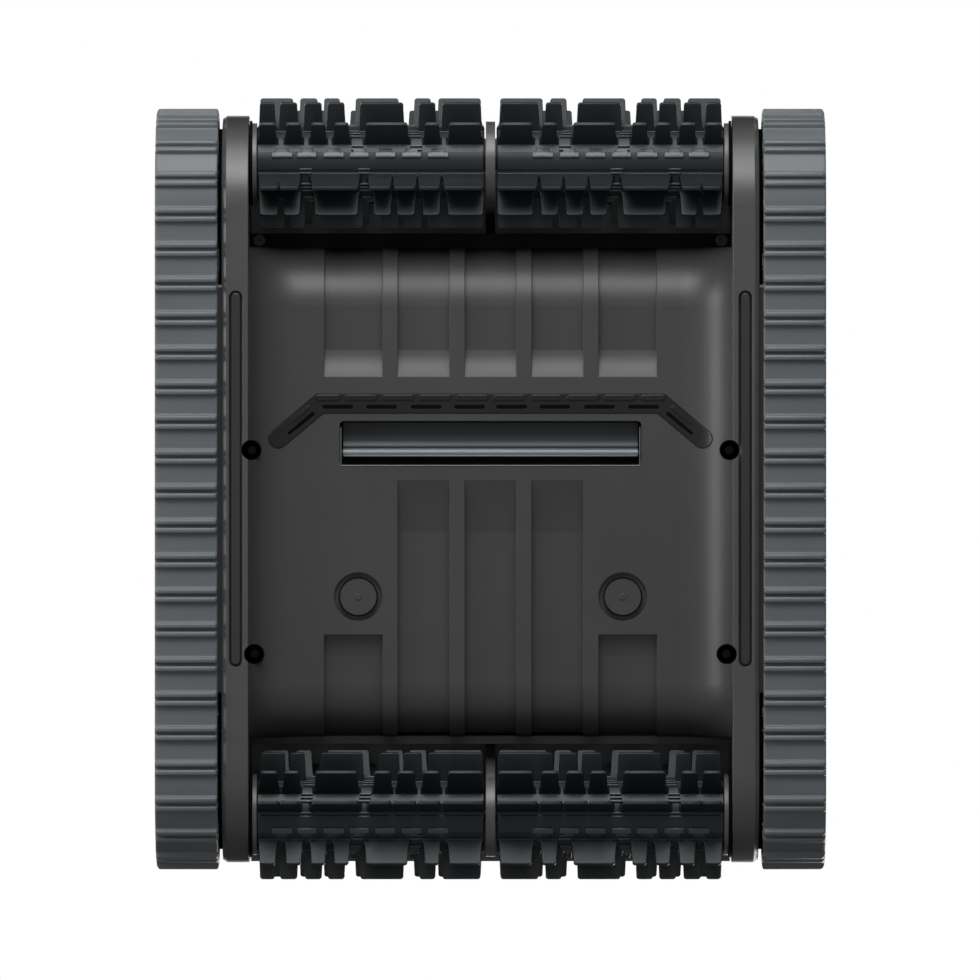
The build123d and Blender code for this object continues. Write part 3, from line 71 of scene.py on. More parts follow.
# ----------------------------------------------------------------- materials
def surface(name, base, rough, spread=0.10, grain=900.0, grain_bump=0.10, cloud=9.0,
            wear=0.30, edge=0.0006, worn=None, coat=0.0, spec=0.5, streaks=0.0, metallic=0.0,
            rough_var=0.08, painted_shade_z=None):
    """Moulded or cast finish: cloudy colour variation, fine grain in the bump,
    uneven roughness, rounded and slightly worn edges, and optionally painted shade that darkens colour and specular
    with height."""
    m = bpy.data.materials.new(name)
    m.use_nodes = True
    t = m.node_tree
    n, l = t.nodes, t.links
    n.clear()
    out = n.new("ShaderNodeOutputMaterial")
    b = n.new("ShaderNodeBsdfPrincipled")
    l.new(b.outputs[0], out.inputs[0])
    b.inputs["Metallic"].default_value = metallic
    b.inputs["Specular IOR Level"].default_value = spec
    b.inputs["Coat Weight"].default_value = coat
    b.inputs["Coat Roughness"].default_value = 0.25
    tc = n.new("ShaderNodeTexCoord")
    big = n.new("ShaderNodeTexNoise"); big.inputs["Scale"].default_value = cloud
    big.inputs["Detail"].default_value = 5; big.inputs["Roughness"].default_value = 0.6
    l.new(tc.outputs["Object"], big.inputs["Vector"])
    fine = n.new("ShaderNodeTexNoise"); fine.inputs["Scale"].default_value = grain
    fine.inputs["Detail"].default_value = 3
    l.new(tc.outputs["Object"], fine.inputs["Vector"])
    # colour: cloudy variation round the base
    dark = [c * (1 - spread) for c in base]
    light = [min(1, c * (1 + spread)) for c in base]
    ramp = n.new("ShaderNodeValToRGB")
    ramp.color_ramp.elements[0].position = 0.35
    ramp.color_ramp.elements[1].position = 0.65
    ramp.color_ramp.elements[0].color = (*dark, 1)
    ramp.color_ramp.elements[1].color = (*light, 1)
    l.new(big.outputs[0], ramp.inputs[0])
    mixf = n.new("ShaderNodeMix"); mixf.data_type = "RGBA"; mixf.blend_type = "OVERLAY"
    mixf.inputs[0].default_value = 0.12
    l.new(ramp.outputs[0], mixf.inputs[6])
    l.new(fine.outputs[1], mixf.inputs[7])
    colour = mixf.outputs[2]
    # rounded edges, and wear along them
    bev = n.new("ShaderNodeBevel"); bev.samples = 4
    bev.inputs["Radius"].default_value = edge
    geo = n.new("ShaderNodeNewGeometry")
    dot = n.new("ShaderNodeVectorMath"); dot.operation = "DOT_PRODUCT"
    l.new(bev.outputs[0], dot.inputs[0]); l.new(geo.outputs["Normal"], dot.inputs[1])
    er = n.new("ShaderNodeMapRange")
    er.inputs["From Min"].default_value = 0.995; er.inputs["From Max"].default_value = 0.80
    l.new(dot.outputs["Value"], er.inputs["Value"])
    patch = n.new("ShaderNodeTexNoise"); patch.inputs["Scale"].default_value = 70.0
    patch.inputs["Detail"].default_value = 4
    l.new(tc.outputs["Object"], patch.inputs["Vector"])
    mul = n.new("ShaderNodeMath"); mul.operation = "MULTIPLY"
    l.new(er.outputs[0], mul.inputs[0]); l.new(patch.outputs[0], mul.inputs[1])
    mul2 = n.new("ShaderNodeMath"); mul2.operation = "MULTIPLY"; mul2.inputs[1].default_value = wear * 1.6
    l.new(mul.outputs[0], mul2.inputs[0])
    mixe = n.new("ShaderNodeMix"); mixe.data_type = "RGBA"
    l.new(mul2.outputs[0], mixe.inputs[0])
    l.new(colour, mixe.inputs[6])
    w = worn or [min(1, c * 1.9 + 0.02) for c in base]
    mixe.inputs[7].default_value = (*w, 1)
    if painted_shade_z:
        # painted shade: base colour and specular fall off with height, so parts high up inside the moulding look
        # unlit
        sep = n.new("ShaderNodeSeparateXYZ"); l.new(tc.outputs["Object"], sep.inputs[0])
        dr = n.new("ShaderNodeMapRange")
        dr.inputs["From Min"].default_value = painted_shade_z[0]; dr.inputs["From Max"].default_value = painted_shade_z[1]
        dr.inputs["To Min"].default_value = 1.0; dr.inputs["To Max"].default_value = painted_shade_z[2]
        l.new(sep.outputs["Z"], dr.inputs["Value"])
        hsv = n.new("ShaderNodeHueSaturation")
        l.new(dr.outputs[0], hsv.inputs["Value"]); l.new(mixe.outputs[2], hsv.inputs["Color"])
        l.new(hsv.outputs[0], b.inputs["Base Color"])
        sm = n.new("ShaderNodeMath"); sm.operation = "MULTIPLY"; sm.inputs[1].default_value = spec
        l.new(dr.outputs[0], sm.inputs[0]); l.new(sm.outputs[0], b.inputs["Specular IOR Level"])
    else:
        l.new(mixe.outputs[2], b.inputs["Base Color"])
    # roughness
    rr = n.new("ShaderNodeMapRange")
    rr.inputs["To Min"].default_value = max(0.05, rough - rough_var)
    rr.inputs["To Max"].default_value = min(1.0, rough + rough_var)
    l.new(big.outputs[0], rr.inputs["Value"])
    l.new(rr.outputs[0], b.inputs["Roughness"])
    # bump: fine grain over the rounded-edge normal
    bump = n.new("ShaderNodeBump"); bump.inputs["Strength"].default_value = grain_bump
    bump.inputs["Distance"].default_value = 0.0003
    l.new(fine.outputs[0], bump.inputs["Height"])
    l.new(bev.outputs[0], bump.inputs["Normal"])
    last = bump
    if streaks:
        mp = n.new("ShaderNodeMapping"); mp.inputs["Scale"].default_value = (30, 1.5, 30)
        l.new(tc.outputs["Object"], mp.inputs["Vector"])
        st = n.new("ShaderNodeTexNoise"); st.inputs["Scale"].default_value = 60
        l.new(mp.outputs[0], st.inputs["Vector"])
        b2 = n.new("ShaderNodeBump"); b2.inputs["Strength"].default_value = streaks
        b2.inputs["Distance"].default_value = 0.0002
        l.new(st.outputs[0], b2.inputs["Height"])
        l.new(last.outputs[0], b2.inputs["Normal"])
        last = b2
    l.new(last.outputs[0], b.inputs["Normal"])
    return m


MATS = {
    # belly and frame: painted shade, colour and specular darkened with height (last tuple)
    "belly": surface("belly_plastic", (0.0305, 0.0305, 0.0305), 0.44, spec=0.40, painted_shade_z=(0.044, 0.060, 0.12), spread=0.05, grain=2600, grain_bump=0.10, wear=0.10, edge=0.0005),
    "frame": surface("frame_plastic", (0.040, 0.040, 0.040), 0.38, painted_shade_z=(0.025, 0.048, 0.30), spread=0.05, grain=2600, grain_bump=0.10, wear=0.15, edge=0.0007),
    "black": surface("black_plastic", (0.012, 0.012, 0.012), 0.38, spread=0.08, grain=2200, grain_bump=0.10, wear=0.15, edge=0.0004),
    "track": surface("track_rubber", (0.070, 0.079, 0.086), 0.50, spread=0.05, grain=1500, grain_bump=0.16, cloud=14, wear=0.20, edge=0.0004),
    "brush": surface("brush_pvc", (0.0085, 0.0115, 0.0135), 0.40, spread=0.10, grain=1200, grain_bump=0.08, cloud=30, wear=0.45, edge=0.0006, worn=(0.055, 0.062, 0.068), spec=0.32),
    # lighter copy of the brush PVC for the grip ribs and locking tabs: painted highlight
    "brush_painted_highlight": surface("brush_pvc_ribs", (0.027, 0.031, 0.034), 0.36, spread=0.10, grain=1200, grain_bump=0.08, cloud=30, wear=0.45, edge=0.0004, worn=(0.08, 0.088, 0.094), spec=0.5),
    # flap rubber made lighter than its own tone: painted highlight on the hinge barrel and beads
    "flap": surface("flap_rubber", (0.115, 0.130, 0.142), 0.36, spread=0.04, grain=1600, grain_bump=0.06, wear=0.1, edge=0.0004),
    # lighter copy of the belly plastic for the slot lip: painted highlight along the slot edge
    "lip": surface("slot_lip_painted_highlight", (0.052, 0.053, 0.054), 0.34, spread=0.06, grain=2600, grain_bump=0.08, wear=0.2, edge=0.0003),
    # darkened copy of the flap rubber: painted shade for the recessed flap sheet
    "flap_painted_shade": surface("flap_rubber_shaded", (0.020, 0.027, 0.032), 0.42, spread=0.04, grain=1600, grain_bump=0.06, wear=0.1, edge=0.0004, spec=0.35),
    "wheel": surface("wheel_plastic", (0.050, 0.054, 0.058), 0.42, spread=0.06, grain=2000, wear=0.2),
    "steel": surface("stainless_steel", (0.52, 0.52, 0.53), 0.28, spread=0.05, grain=1800, grain_bump=0.05, wear=0.1, metallic=1.0, streaks=0.15),
    "oxide": surface("black_oxide_steel", (0.016, 0.016, 0.017), 0.34, spread=0.10, grain=1400, grain_bump=0.10, wear=0.35, worn=(0.12, 0.12, 0.12), metallic=0.6),
    "vent": surface("vent_plastic", (0.0055, 0.0055, 0.0055), 0.30, spec=0.36, spread=0.08, grain=2200, grain_bump=0.08, wear=0.25, edge=0.0005, worn=(0.05, 0.05, 0.05)),
    # near-black and unlit: painted shade for dark pieces set in slots, wells, gaps and grooves
    "void": surface("unlit_recess", (0.0015, 0.0015, 0.0015), 0.85, spread=0.3, grain=1800, grain_bump=0.10, wear=0.0, spec=0.05),
    "acetal": surface("acetal", (0.060, 0.062, 0.064), 0.38, spread=0.05, grain=1500, wear=0.25),
    # bearing ring: painted shade, colour and specular darkened with height (last tuple)
    "ring": surface("bearing_plastic", (0.052, 0.052, 0.050), 0.36, painted_shade_z=(0.028, 0.043, 0.04), spread=0.05, grain=2000, wear=0.25),
    "battery": surface("battery_wrap", (0.05, 0.12, 0.28), 0.35, spread=0.05, grain=600, wear=0.1),
    "board": surface("solder_mask", (0.03, 0.18, 0.08), 0.35, spread=0.12, grain=500, wear=0.1),
    "shell": surface("shell_plastic", (0.085, 0.096, 0.108), 0.34, spread=0.03, grain=2600, grain_bump=0.05, wear=0.15, edge=0.001, coat=0.25),
    "lid": surface("lid_plastic", (0.040, 0.044, 0.048), 0.30, spread=0.03, grain=2600, grain_bump=0.05, wear=0.15, edge=0.0008, coat=0.2),
    "mesh": surface("filter_mesh", (0.55, 0.56, 0.56), 0.6, spread=0.1, grain=700, grain_bump=0.4, wear=0.1),
    "light": surface("diffuser", (0.72, 0.80, 0.84), 0.35, spread=0.03, grain=900, grain_bump=0.05, wear=0.1),
    "seal": surface("seal_rubber", (0.03, 0.03, 0.03), 0.6, spread=0.1, grain=900, wear=0.1),
}
SLOT_MAT = {
    "frame_plastic": "frame", "belly_plastic": "belly", "track_rubber": "track", "brush_pvc": "brush",
    "flap_rubber": "flap", "wheel_plastic": "wheel", "steel": "steel", "black_plastic": "black",
    "acetal": "acetal", "battery_wrap": "battery", "board": "board", "shell_plastic": "shell",
    "lid_plastic": "lid", "mesh": "mesh", "light": "light", "seal": "seal",
}
slot_of = {s["node"]: s["material_slot"] for s in frame["record"]["subparts"]}
for name, o in nodes.items():
    m = MATS[SLOT_MAT[slot_of[name]]]
    if name in ("front_brush_bracket", "rear_brush_bracket"):
        m = MATS["ring"]
    if name == "vent_strip":
        m = MATS["vent"]
    if name in ("belly_screws", "flap_pin"):
        m = MATS["oxide"]
    if not o.data.materials:
        o.data.materials.append(m)
    for i in range(len(o.data.materials)):
        o.data.materials[i] = m


# ---------------------------------------------------------------- mesh tools
def make(name, verts, faces, mat, body, node=None, angle=35, bevel=0.0, segments=2, scale=MM):
    me = bpy.data.meshes.new(name)
    me.from_pydata([tuple(c * scale for c in v) for v in verts], [], faces)
    me.validate()
    bm = bmesh.new(); bm.from_mesh(me)
    bmesh.ops.recalc_face_normals(bm, faces=bm.faces)
    bm.to_mesh(me); bm.free()
    o = bpy.data.objects.new(name, me)
    bpy.context.scene.collection.objects.link(o)
    me.materials.append(mat)
    if bevel:
        md = o.modifiers.new("round", "BEVEL")
        md.width = bevel * scale; md.segments = segments
        md.limit_method = "ANGLE"; md.angle_limit = math.radians(35)
        md.harden_normals = False
    me.shade_smooth()
    me.set_sharp_from_angle(angle=math.radians(angle))
    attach(o, body)
    if node:
        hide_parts(node)
    return o


class Mesh:
    def __init__(self):
        self.v, self.f = [], []

    def add(self, verts, faces):
        k = len(self.v)
        self.v += verts
        self.f += [tuple(i + k for i in f) for f in faces]

    def prism(self, front, back):
        n = len(front)
        self.add(list(front) + list(back),
                 [tuple(range(n)), tuple(range(2 * n - 1, n - 1, -1))] +
                 [(i, i + n, (i + 1) % n + n, (i + 1) % n) for i in range(n)])


# -------------------------------------------------------------------- tracks
def tread_height(o):
    """Height of the tread above the belt, o mm along from the tread's middle."""
    a = abs(o)
    pts = [(0.0, 0.35), (0.45, 0.40), (0.80, 0.75), (0.95, 2.45), (1.35, 2.95), (2.6, 3.0),
           (3.75, 2.95), (4.15, 2.45), (4.35, 0.60), (4.75, 0.12), (5.4, 0.0), (10.35, 0.0)]
    for (a0, h0), (a1, h1) in zip(pts, pts[1:]):
        if a <= a1:
            return h0 + (h1 - h0) * (a - a0) / (a1 - a0)
    return 0.0


def loop_point(s, r):
    """Point on the loop: s mm along the pitch line from the bottom middle,
    r mm out from the wheel axle line."""
    straight = 2 * AXLE_Y
    arc = math.pi * R_PITCH
    total = 2 * straight + 2 * arc
    s = s % total
    if s <= AXLE_Y:
        return (s, AXLE_Z - r)
    s -= AXLE_Y
    if s <= arc:
        a = s / R_PITCH
        return (AXLE_Y + r * math.sin(a), AXLE_Z - r * math.cos(a))
    s -= arc
    if s <= straight:
        return (AXLE_Y - s, AXLE_Z + r)
    s -= straight
    if s <= arc:
        a = s / R_PITCH
        return (-AXLE_Y - r * math.sin(a), AXLE_Z + r * math.cos(a))
    s -= arc
    return (-AXLE_Y + s, AXLE_Z - r)


LOOP = 2 * (2 * AXLE_Y) + 2 * math.pi * R_PITCH
TREADS = 49
STEP = LOOP / TREADS
TREAD_SHIFT = -1.6


def track(side):
    sx = 1 if side == "left" else -1
    offs = [-10.35, -8.2, -6.6, -5.4, -4.75, -4.35, -4.15, -3.75, -2.6, -1.35, -0.95, -0.80, -0.45, 0.0,
            0.45, 0.80, 0.95, 1.35, 2.6, 3.75, 4.15, 4.35, 4.75, 5.4, 6.6, 8.2]
    rows = []
    for k in range(TREADS):
        for o in offs:
            s = k * STEP + o * STEP / 20.7 + TREAD_SHIFT
            rows.append((s, tread_height(o)))
    n = len(rows)
    W = TRACK_OUT - TRACK_IN
    # (distance from the inner face, share of the tread height, drop of the belt)
    slices = [(0.0, 0.25, 0.55), (0.25, 0.62, 0.18), (0.8, 0.92, 0.0), (1.6, 1.0, 0.0),
              (W - 2.2, 1.0, 0.0), (W - 1.2, 0.90, 0.0), (W - 0.4, 0.60, 0.15), (W, 0.22, 0.6)]
    m = Mesh()
    verts, faces = [], []
    for d, share, drop in slices:
        for s, h in rows:
            y, z = loop_point(s, R_BELT + h * share - drop)
            verts.append((sx * (TRACK_IN + d), y, z))
    base_in = len(verts)
    for d in (W, 0.0):
        for s, h in rows:
            y, z = loop_point(s, R_IN)
            verts.append((sx * (TRACK_IN + d), y, z))
    rings = len(slices) + 2
    for r in range(rings):
        a, b = r * n, ((r + 1) % rings) * n
        for i in range(n):
            j = (i + 1) % n
            faces.append((a + i, a + j, b + j, b + i))
    m.add(verts, faces)
    for k in range(TREADS):
        s = k * STEP
        front, back = [], []
        for x, ring in ((184.0, front), (198.0, back)):
            for o, r in ((-2.5, R_IN + 0.5), (2.5, R_IN + 0.5), (2.5, 47.6), (1.8, 46.9), (-1.8, 46.9), (-2.5, 47.6)):
                y0, z0 = loop_point(s, r)
                # keep the lug's sides parallel
                y1, z1 = loop_point(s, r + 1)
                nrm = (y1 - y0, z1 - z0)
                ring.append((sx * x, y0 - nrm[1] * -o * 1.0, z0 + nrm[0] * -o * 1.0))
        m.prism(front, back)
    return make(f"{side}_track_rubber", m.v, m.f, MATS["track"], "chassis", f"{side}_track", angle=50)


for side in ("left", "right"):
    track(side)


# ------------------------------------------------------------------- brushes
def lerp_table(angle, table):
    t = (angle - 36) / 30.0
    t = max(0.0, min(len(table) - 1.0, t))
    i = min(int(t), len(table) - 2)
    return table[i] + (table[i + 1] - table[i]) * (t - i)


def brush(side, end):
    sx = 1 if side == "left" else -1
    sy = 1 if end == "front" else -1
    turn = 0.0 if end == "front" else REAR_TURN

    def at(x, r, deg):
        a = math.radians(deg + turn)
        return (sx * x, sy * (BRUSH_Y + r * math.sin(a)), BRUSH_Z - r * math.cos(a))

    def at_off(x, r, deg, t):
        """r out along the direction deg, t across it."""
        a = math.radians(deg + turn)
        return (sx * x,
                sy * (BRUSH_Y + r * math.sin(a) + t * math.cos(a)),
                BRUSH_Z - r * math.cos(a) + t * math.sin(a))

    m = Mesh()
    # core sleeve
    N = 96
    xs = [3.6, 4.1, 60.0, 139.8, 140.3]
    rs = [CORE_R - 0.5, CORE_R, CORE_R, CORE_R, CORE_R - 0.5]
    verts, faces = [], []
    for x, r in zip(xs, rs):
        verts += [at(x, r, 360 * i / N) for i in range(N)]
    verts += [at(140.3, 6.1, 360 * i / N) for i in range(N)]
    verts += [at(3.6, 6.1, 360 * i / N) for i in range(N)]
    R = len(xs) + 2
    for r in range(R):
        a, b = r * N, ((r + 1) % R) * N
        for i in range(N):
            j = (i + 1) % N
            faces.append((a + i, a + j, b + j, b + i))
    m.add(verts, faces)
    # paddles: rounded tips, straight flanks, flared into the sleeve
    for deg, spans in ROWS:
        for a, b in spans:
            hi, lo = max(a, b), min(a, b)
            w = hi - lo
            flare = 1.6 if w < 14 else 2.0
            hi_f, lo_f = min(hi + flare, 139.6), max(lo - flare, 4.0)
            hi_m, lo_m = min(hi + 0.5, 139.2), max(lo - 0.5, 4.2)
            c = 1.5
            prof = [(lo_f, CORE_R - 0.6), (lo_f, CORE_R + 0.2), (lo_f * 0.4 + lo_m * 0.6, CORE_R + 1.2), (lo_m, CORE_R + 3.6),
                    (lo, BRUSH_R - 3.0), (lo, BRUSH_R - c), (lo + c * 0.3, BRUSH_R - c * 0.3), (lo + c, BRUSH_R),
                    (hi - c, BRUSH_R), (hi - c * 0.3, BRUSH_R - c * 0.3), (hi, BRUSH_R - c), (hi, BRUSH_R - 3.0),
                    (hi_m, CORE_R + 3.6), (hi_f * 0.4 + hi_m * 0.6, CORE_R + 1.2), (hi_f, CORE_R + 0.2), (hi_f, CORE_R - 0.6)]

            def half(r):
                f = max(0.0, min(1.0, (r - CORE_R) / (BRUSH_R - CORE_R)))
                return 1.75 - 0.65 * f + (0.9 * max(0.0, 1 - (r - CORE_R) / 3.0) if r < CORE_R + 3 else 0)

            front = [at_off(x, r, deg, half(r)) for x, r in prof]
            back = [at_off(x, r, deg, -half(r)) for x, r in prof]
            m.prism(front, back)
    # little grip ribs beside the wide paddles
    fine = Mesh()
    for table in (LADDER_A, LADDER_B):
        deg = 14.0
        while deg < 352:
            x = lerp_table(deg, table)
            near = min(abs(deg - r[0]) for r in ROWS)
            if near > 4.0:
                w, h = 3.6, 1.35
                front = [at_off(x + w, CORE_R - 0.4, deg, t) for t in (-0.75, 0.75)] + [at_off(x + w, CORE_R + h, deg, t) for t in (0.45, -0.45)]
                back = [at_off(x - w, CORE_R - 0.4, deg, t) for t in (-0.75, 0.75)] + [at_off(x - w, CORE_R + h, deg, t) for t in (0.45, -0.45)]
                fine.prism(front, back)
            deg += 6.0
    # the seam: one edge of the sheet laps over the other, with seven locking tabs
    lap = [(15.3, 0.0), (15.3, 1.15), (9.0, 1.2), (0.0, 1.1), (-8.0, 0.7), (-12.5, 0.35), (-12.5, 0.0)]
    lap_hi = [at(139.9, CORE_R + h, d) for d, h in lap[1:-1]] + [at(139.9, CORE_R - 0.5, d) for d in (-12.5, 0, 15.3)]
    lap_lo = [at(4.2, CORE_R + h, d) for d, h in lap[1:-1]] + [at(4.2, CORE_R - 0.5, d) for d in (-12.5, 0, 15.3)]
    m.prism(lap_hi, lap_lo)
    for k, (a, b) in enumerate(TABS):
        cx, w = (a + b) / 2, (a - b) / 2
        # neck above the step and a hooked tongue below it
        for half_w, pts in ((w * 0.62, [(22.0, 0.9), (15.0, 2.2), (9.5, 2.3), (8.0, 1.6)]),
                            (w * 0.95, [(15.6, 1.9), (14.6, 2.3), (8.6, 2.5), (6.6, 2.1)])):
            hi = [at(cx + half_w, CORE_R + h, d) for d, h in pts] + [at(cx + half_w, CORE_R + 0.2, d) for d in (pts[-1][0], pts[0][0])]
            lo = [at(cx - half_w, CORE_R + h, d) for d, h in pts] + [at(cx - half_w, CORE_R + 0.2, d) for d in (pts[-1][0], pts[0][0])]
            fine.prism(hi, lo)
    # ribs and tabs in the lighter PVC copy: painted highlight
    make(f"{side}_{end}_brush_ribs", fine.v, fine.f, MATS["brush_painted_highlight"], f"{side}_{end}_brush",
         None, angle=32, bevel=0.2)
    return make(f"{side}_{end}_brush_sheet", m.v, m.f, MATS["brush"], f"{side}_{end}_brush",
                f"{side}_{end}_brush", angle=32, bevel=0.3)


for side in ("left", "right"):
    for end in ("front", "rear"):
        brush(side, end)

# -------------------------------------------------------------- inlet flap
low = [(22.9, 32.0), (24.1, 33.4), (24.7, 35.2), (26.2, 36.5), (29.4, 37.1), (34.5, 37.4), (40.2, 37.75)]
up = [(39.6, 38.5), (34.2, 38.2), (28.8, 37.9), (25.4, 37.1), (23.6, 35.6), (22.0, 32.6)]
prof = low + up
fm_ = Mesh()
fm_.prism([(88.6, y, z) for y, z in prof], [(-88.6, y, z) for y, z in prof])
# flap sheet in the darkened rubber copy: painted shade
make("inlet_flap_sheet", fm_.v, fm_.f, MATS["flap_painted_shade"], "inlet_flap", "inlet_flap", angle=40)
# hinge barrel and beads in the lightened flap rubber: painted highlight
barrel = Mesh()
ring = [(21.75 + 2.5 * math.cos(math.radians(d)), 30.0 + 2.5 * math.sin(math.radians(d))) for d in range(0, 360, 12)]
barrel.prism([(88.6, y, z) for y, z in ring], [(-88.6, y, z) for y, z in ring])
for yy, zz in ((23.75, 28.25), (19.9, 28.15)):
    ring = [(yy + 0.40 * math.cos(a), zz + 0.40 * math.sin(a)) for a in [math.radians(d) for d in range(0, 360, 45)]]
    barrel.prism([(88.2, y, z) for y, z in ring], [(-88.2, y, z) for y, z in ring])
make("inlet_flap_bead", barrel.v, barrel.f, MATS["flap"], "inlet_flap", None, angle=40, bevel=0.25)

# ------------------------------------------------------- vent strip details
def pad(mm, cx, cy, length, width, deg, z0, z1, sides=8):
    """Raised or sunk bar with rounded ends, flat in Z."""
    a = math.radians(deg)
    r = width / 2
    pts = []
    for end, base in ((1, -90), (-1, 90)):
        for k in range(sides + 1):
            t = math.radians(base + 180 * k / sides)
            pts.append((end * (length / 2 - r) + r * math.cos(t), r * math.sin(t)))
    xy = [(cx + x * math.cos(a) - y * math.sin(a), cy + x * math.sin(a) + y * math.cos(a)) for x, y in pts]
    mm.prism([(x, y, z0) for x, y in xy], [(x, y, z1) for x, y in xy])


bars = Mesh()
for x in (11.1, 33.3, 55.5, 77.7):
    for s_ in (1, -1):
        pad(bars, s_ * x, 54.9, 19.4, 3.6, 0, 24.75, 25.7)
for s_ in (1, -1):
    pad(bars, s_ * 97.6, 54.9, 15.0, 3.6, 0, 24.75, 25.7)
    pad(bars, s_ * 117.0, 42.6, 22.0, 2.6, -s_ * 40, 24.8, 25.7)
make("vent_bars", bars.v, bars.f, MATS["vent"], "chassis", None, angle=40, bevel=0.45, segments=3)
# dark pads in the vent slots: painted shade
voids = Mesh()
for x in (12.6, 38.7, 65.4, 91.8):
    for s_ in (1, -1):
        pad(voids, s_ * x, 49.4, 18.4, 2.3, 0, 25.42, 25.62)
for s_ in (1, -1):
    pad(voids, s_ * 113.6, 39.4, 20.4, 2.2, -s_ * 40, 25.42, 25.62)
make("vent_slot_shade", voids.v, voids.f, MATS["void"], "chassis", None, angle=40)

# ------------------------------------------------- dark tubes in the wells: painted shade
shade_tubes = Mesh()
for wx, wy, z0 in ((143.3, 23.3, 12.0), (141.6, -99.0, 12.0)):
    for s_ in (1, -1):
        N_ = 40
        verts, faces = [], []
        for r, z in ((5.9, z0), (5.9, 30.6), (2.6, 30.6), (2.6, 30.2), (5.3, 30.2), (5.3, z0)):
            verts += [(s_ * wx + r * math.cos(2 * math.pi * k / N_), wy + r * math.sin(2 * math.pi * k / N_), z) for k in range(N_)]
        for r in range(6):
            a, b = r * N_, ((r + 1) % 6) * N_
            for k in range(N_):
                q = (k + 1) % N_
                faces.append((a + k, a + q, b + q, b + k))
        shade_tubes.add(verts, faces)
make("well_shade_tubes", shade_tubes.v, shade_tubes.f, MATS["void"], "chassis", None, angle=40)

# ------------------------------------------------ rounded lip under the slot, in a lighter plastic: painted highlight
lip = Mesh()
ring = [(13.95 + 0.6 * math.cos(math.radians(d)), 26.25 + 0.6 * math.sin(math.radians(d))) for d in range(0, 360, 20)]
lip.prism([(89.6, y, z) for y, z in ring], [(-89.6, y, z) for y, z in ring])
for sx in (1, -1):
    ring = [(sx * 89.75 + 0.45 * math.cos(math.radians(d)), 26.2 + 0.45 * math.sin(math.radians(d))) for d in range(0, 360, 30)]
    lip.prism([(x, 13.8, z) for x, z in ring], [(x, 37.0, z) for x, z in ring])
make("slot_lip", lip.v, lip.f, MATS["lip"], "chassis", None, angle=60)

# ------------------------------- dark sheet that closes the gap beside each frame: painted shade
def stadium(r, n=28):
    pts = [(AXLE_Y + r * math.cos(t), AXLE_Z + r * math.sin(t)) for t in [math.radians(-90 + 180 * k / n) for k in range(n + 1)]]
    pts += [(-AXLE_Y + r * math.cos(t), AXLE_Z + r * math.sin(t)) for t in [math.radians(90 + 180 * k / n) for k in range(n + 1)]]
    return pts


for side in ("left", "right"):
    sx = 1 if side == "left" else -1
    shade_sheet = Mesh()
    inner, outer = stadium(37.5), stadium(46.2)
    nn = len(inner)
    verts = []
    for x, ring in ((161.2, inner), (161.2, outer), (162.9, outer), (162.9, inner)):
        verts += [(sx * x, y, z) for y, z in ring]
    faces = []
    for r in range(4):
        a, b = r * nn, ((r + 1) % 4) * nn
        for k in range(nn):
            q = (k + 1) % nn
            faces.append((a + k, a + q, b + q, b + k))
    shade_sheet.add(verts, faces)
    make(f"{side}_gap_shade_sheet", shade_sheet.v, shade_sheet.f, MATS["void"], "chassis", None, angle=40)

# --------------------------- dark rings between each brush end and its frame: painted shade
for side in ("left", "right"):
    sx = 1 if side == "left" else -1
    for end, sy in (("front", 1), ("rear", -1)):
        shade_disc = Mesh()
        verts, faces = [], []
        NN = 72
        for x, r in ((143.2, 16.0), (143.2, 25.6), (144.6, 25.6), (144.6, 16.0)):
            verts += [(sx * x, sy * (195.8 + r * math.cos(2 * math.pi * k / NN)), 40.495 + r * math.sin(2 * math.pi * k / NN)) for k in range(NN)]
        for r in range(4):
            a, b = r * NN, ((r + 1) % 4) * NN
            for k in range(NN):
                q = (k + 1) % NN
                faces.append((a + k, a + q, b + q, b + k))
        shade_disc.add(verts, faces)
        make(f"{side}_{end}_end_shade_disc", shade_disc.v, shade_disc.f, MATS["void"], "chassis", None, angle=40)

# ------------------------------------------------- dark rings in the grooves round the pads: painted shade
for side in ("left", "right"):
    sx = 1 if side == "left" else -1
    groove_shade = Mesh()
    for r0, r1 in ((11.25, 11.75),):
        verts, faces = [], []
        NN = 64
        for r, z in ((r0, 25.75), (r1, 25.75), (r1, 26.6), (r0, 26.6)):
            verts += [(sx * 79.4 + r * math.cos(2 * math.pi * k / NN), -64.7 + r * math.sin(2 * math.pi * k / NN), z) for k in range(NN)]
        for r in range(4):
            a, b = r * NN, ((r + 1) % 4) * NN
            for k in range(NN):
                q = (k + 1) % NN
                faces.append((a + k, a + q, b + q, b + k))
        groove_shade.add(verts, faces)
    make(f"{side}_pad_groove_shade", groove_shade.v, groove_shade.f, MATS["void"], "chassis", None, angle=40)

# ------------------------------------------------------------ camera, lights
scene = bpy.context.scene
scene.view_settings.view_transform = "Standard"
scene.view_settings.look = "None"
cam_data = bpy.data.cameras.new("camera")
cam = bpy.data.objects.new("camera", cam_data)
scene.collection.objects.link(cam)
scene.camera = cam
LENS = 500.0
cam_data.lens = LENS
cam_data.sensor_width = 36.0
cam_data.clip_end = 60.0
REF_Z = 0.022
WIDTH = 0.588
dist = WIDTH * LENS / 36.0
# image right is -X, image up is +Y: looking straight up from below
cam.location = (0.0003, -0.0006, REF_Z - dist)
right, up, back = Vector((-1, 0, 0)), Vector((0, 1, 0)), Vector((0, 0, -1))
cam.rotation_mode = "QUATERNION"
cam.rotation_quaternion = Matrix((right, up, back)).transposed().to_quaternion()


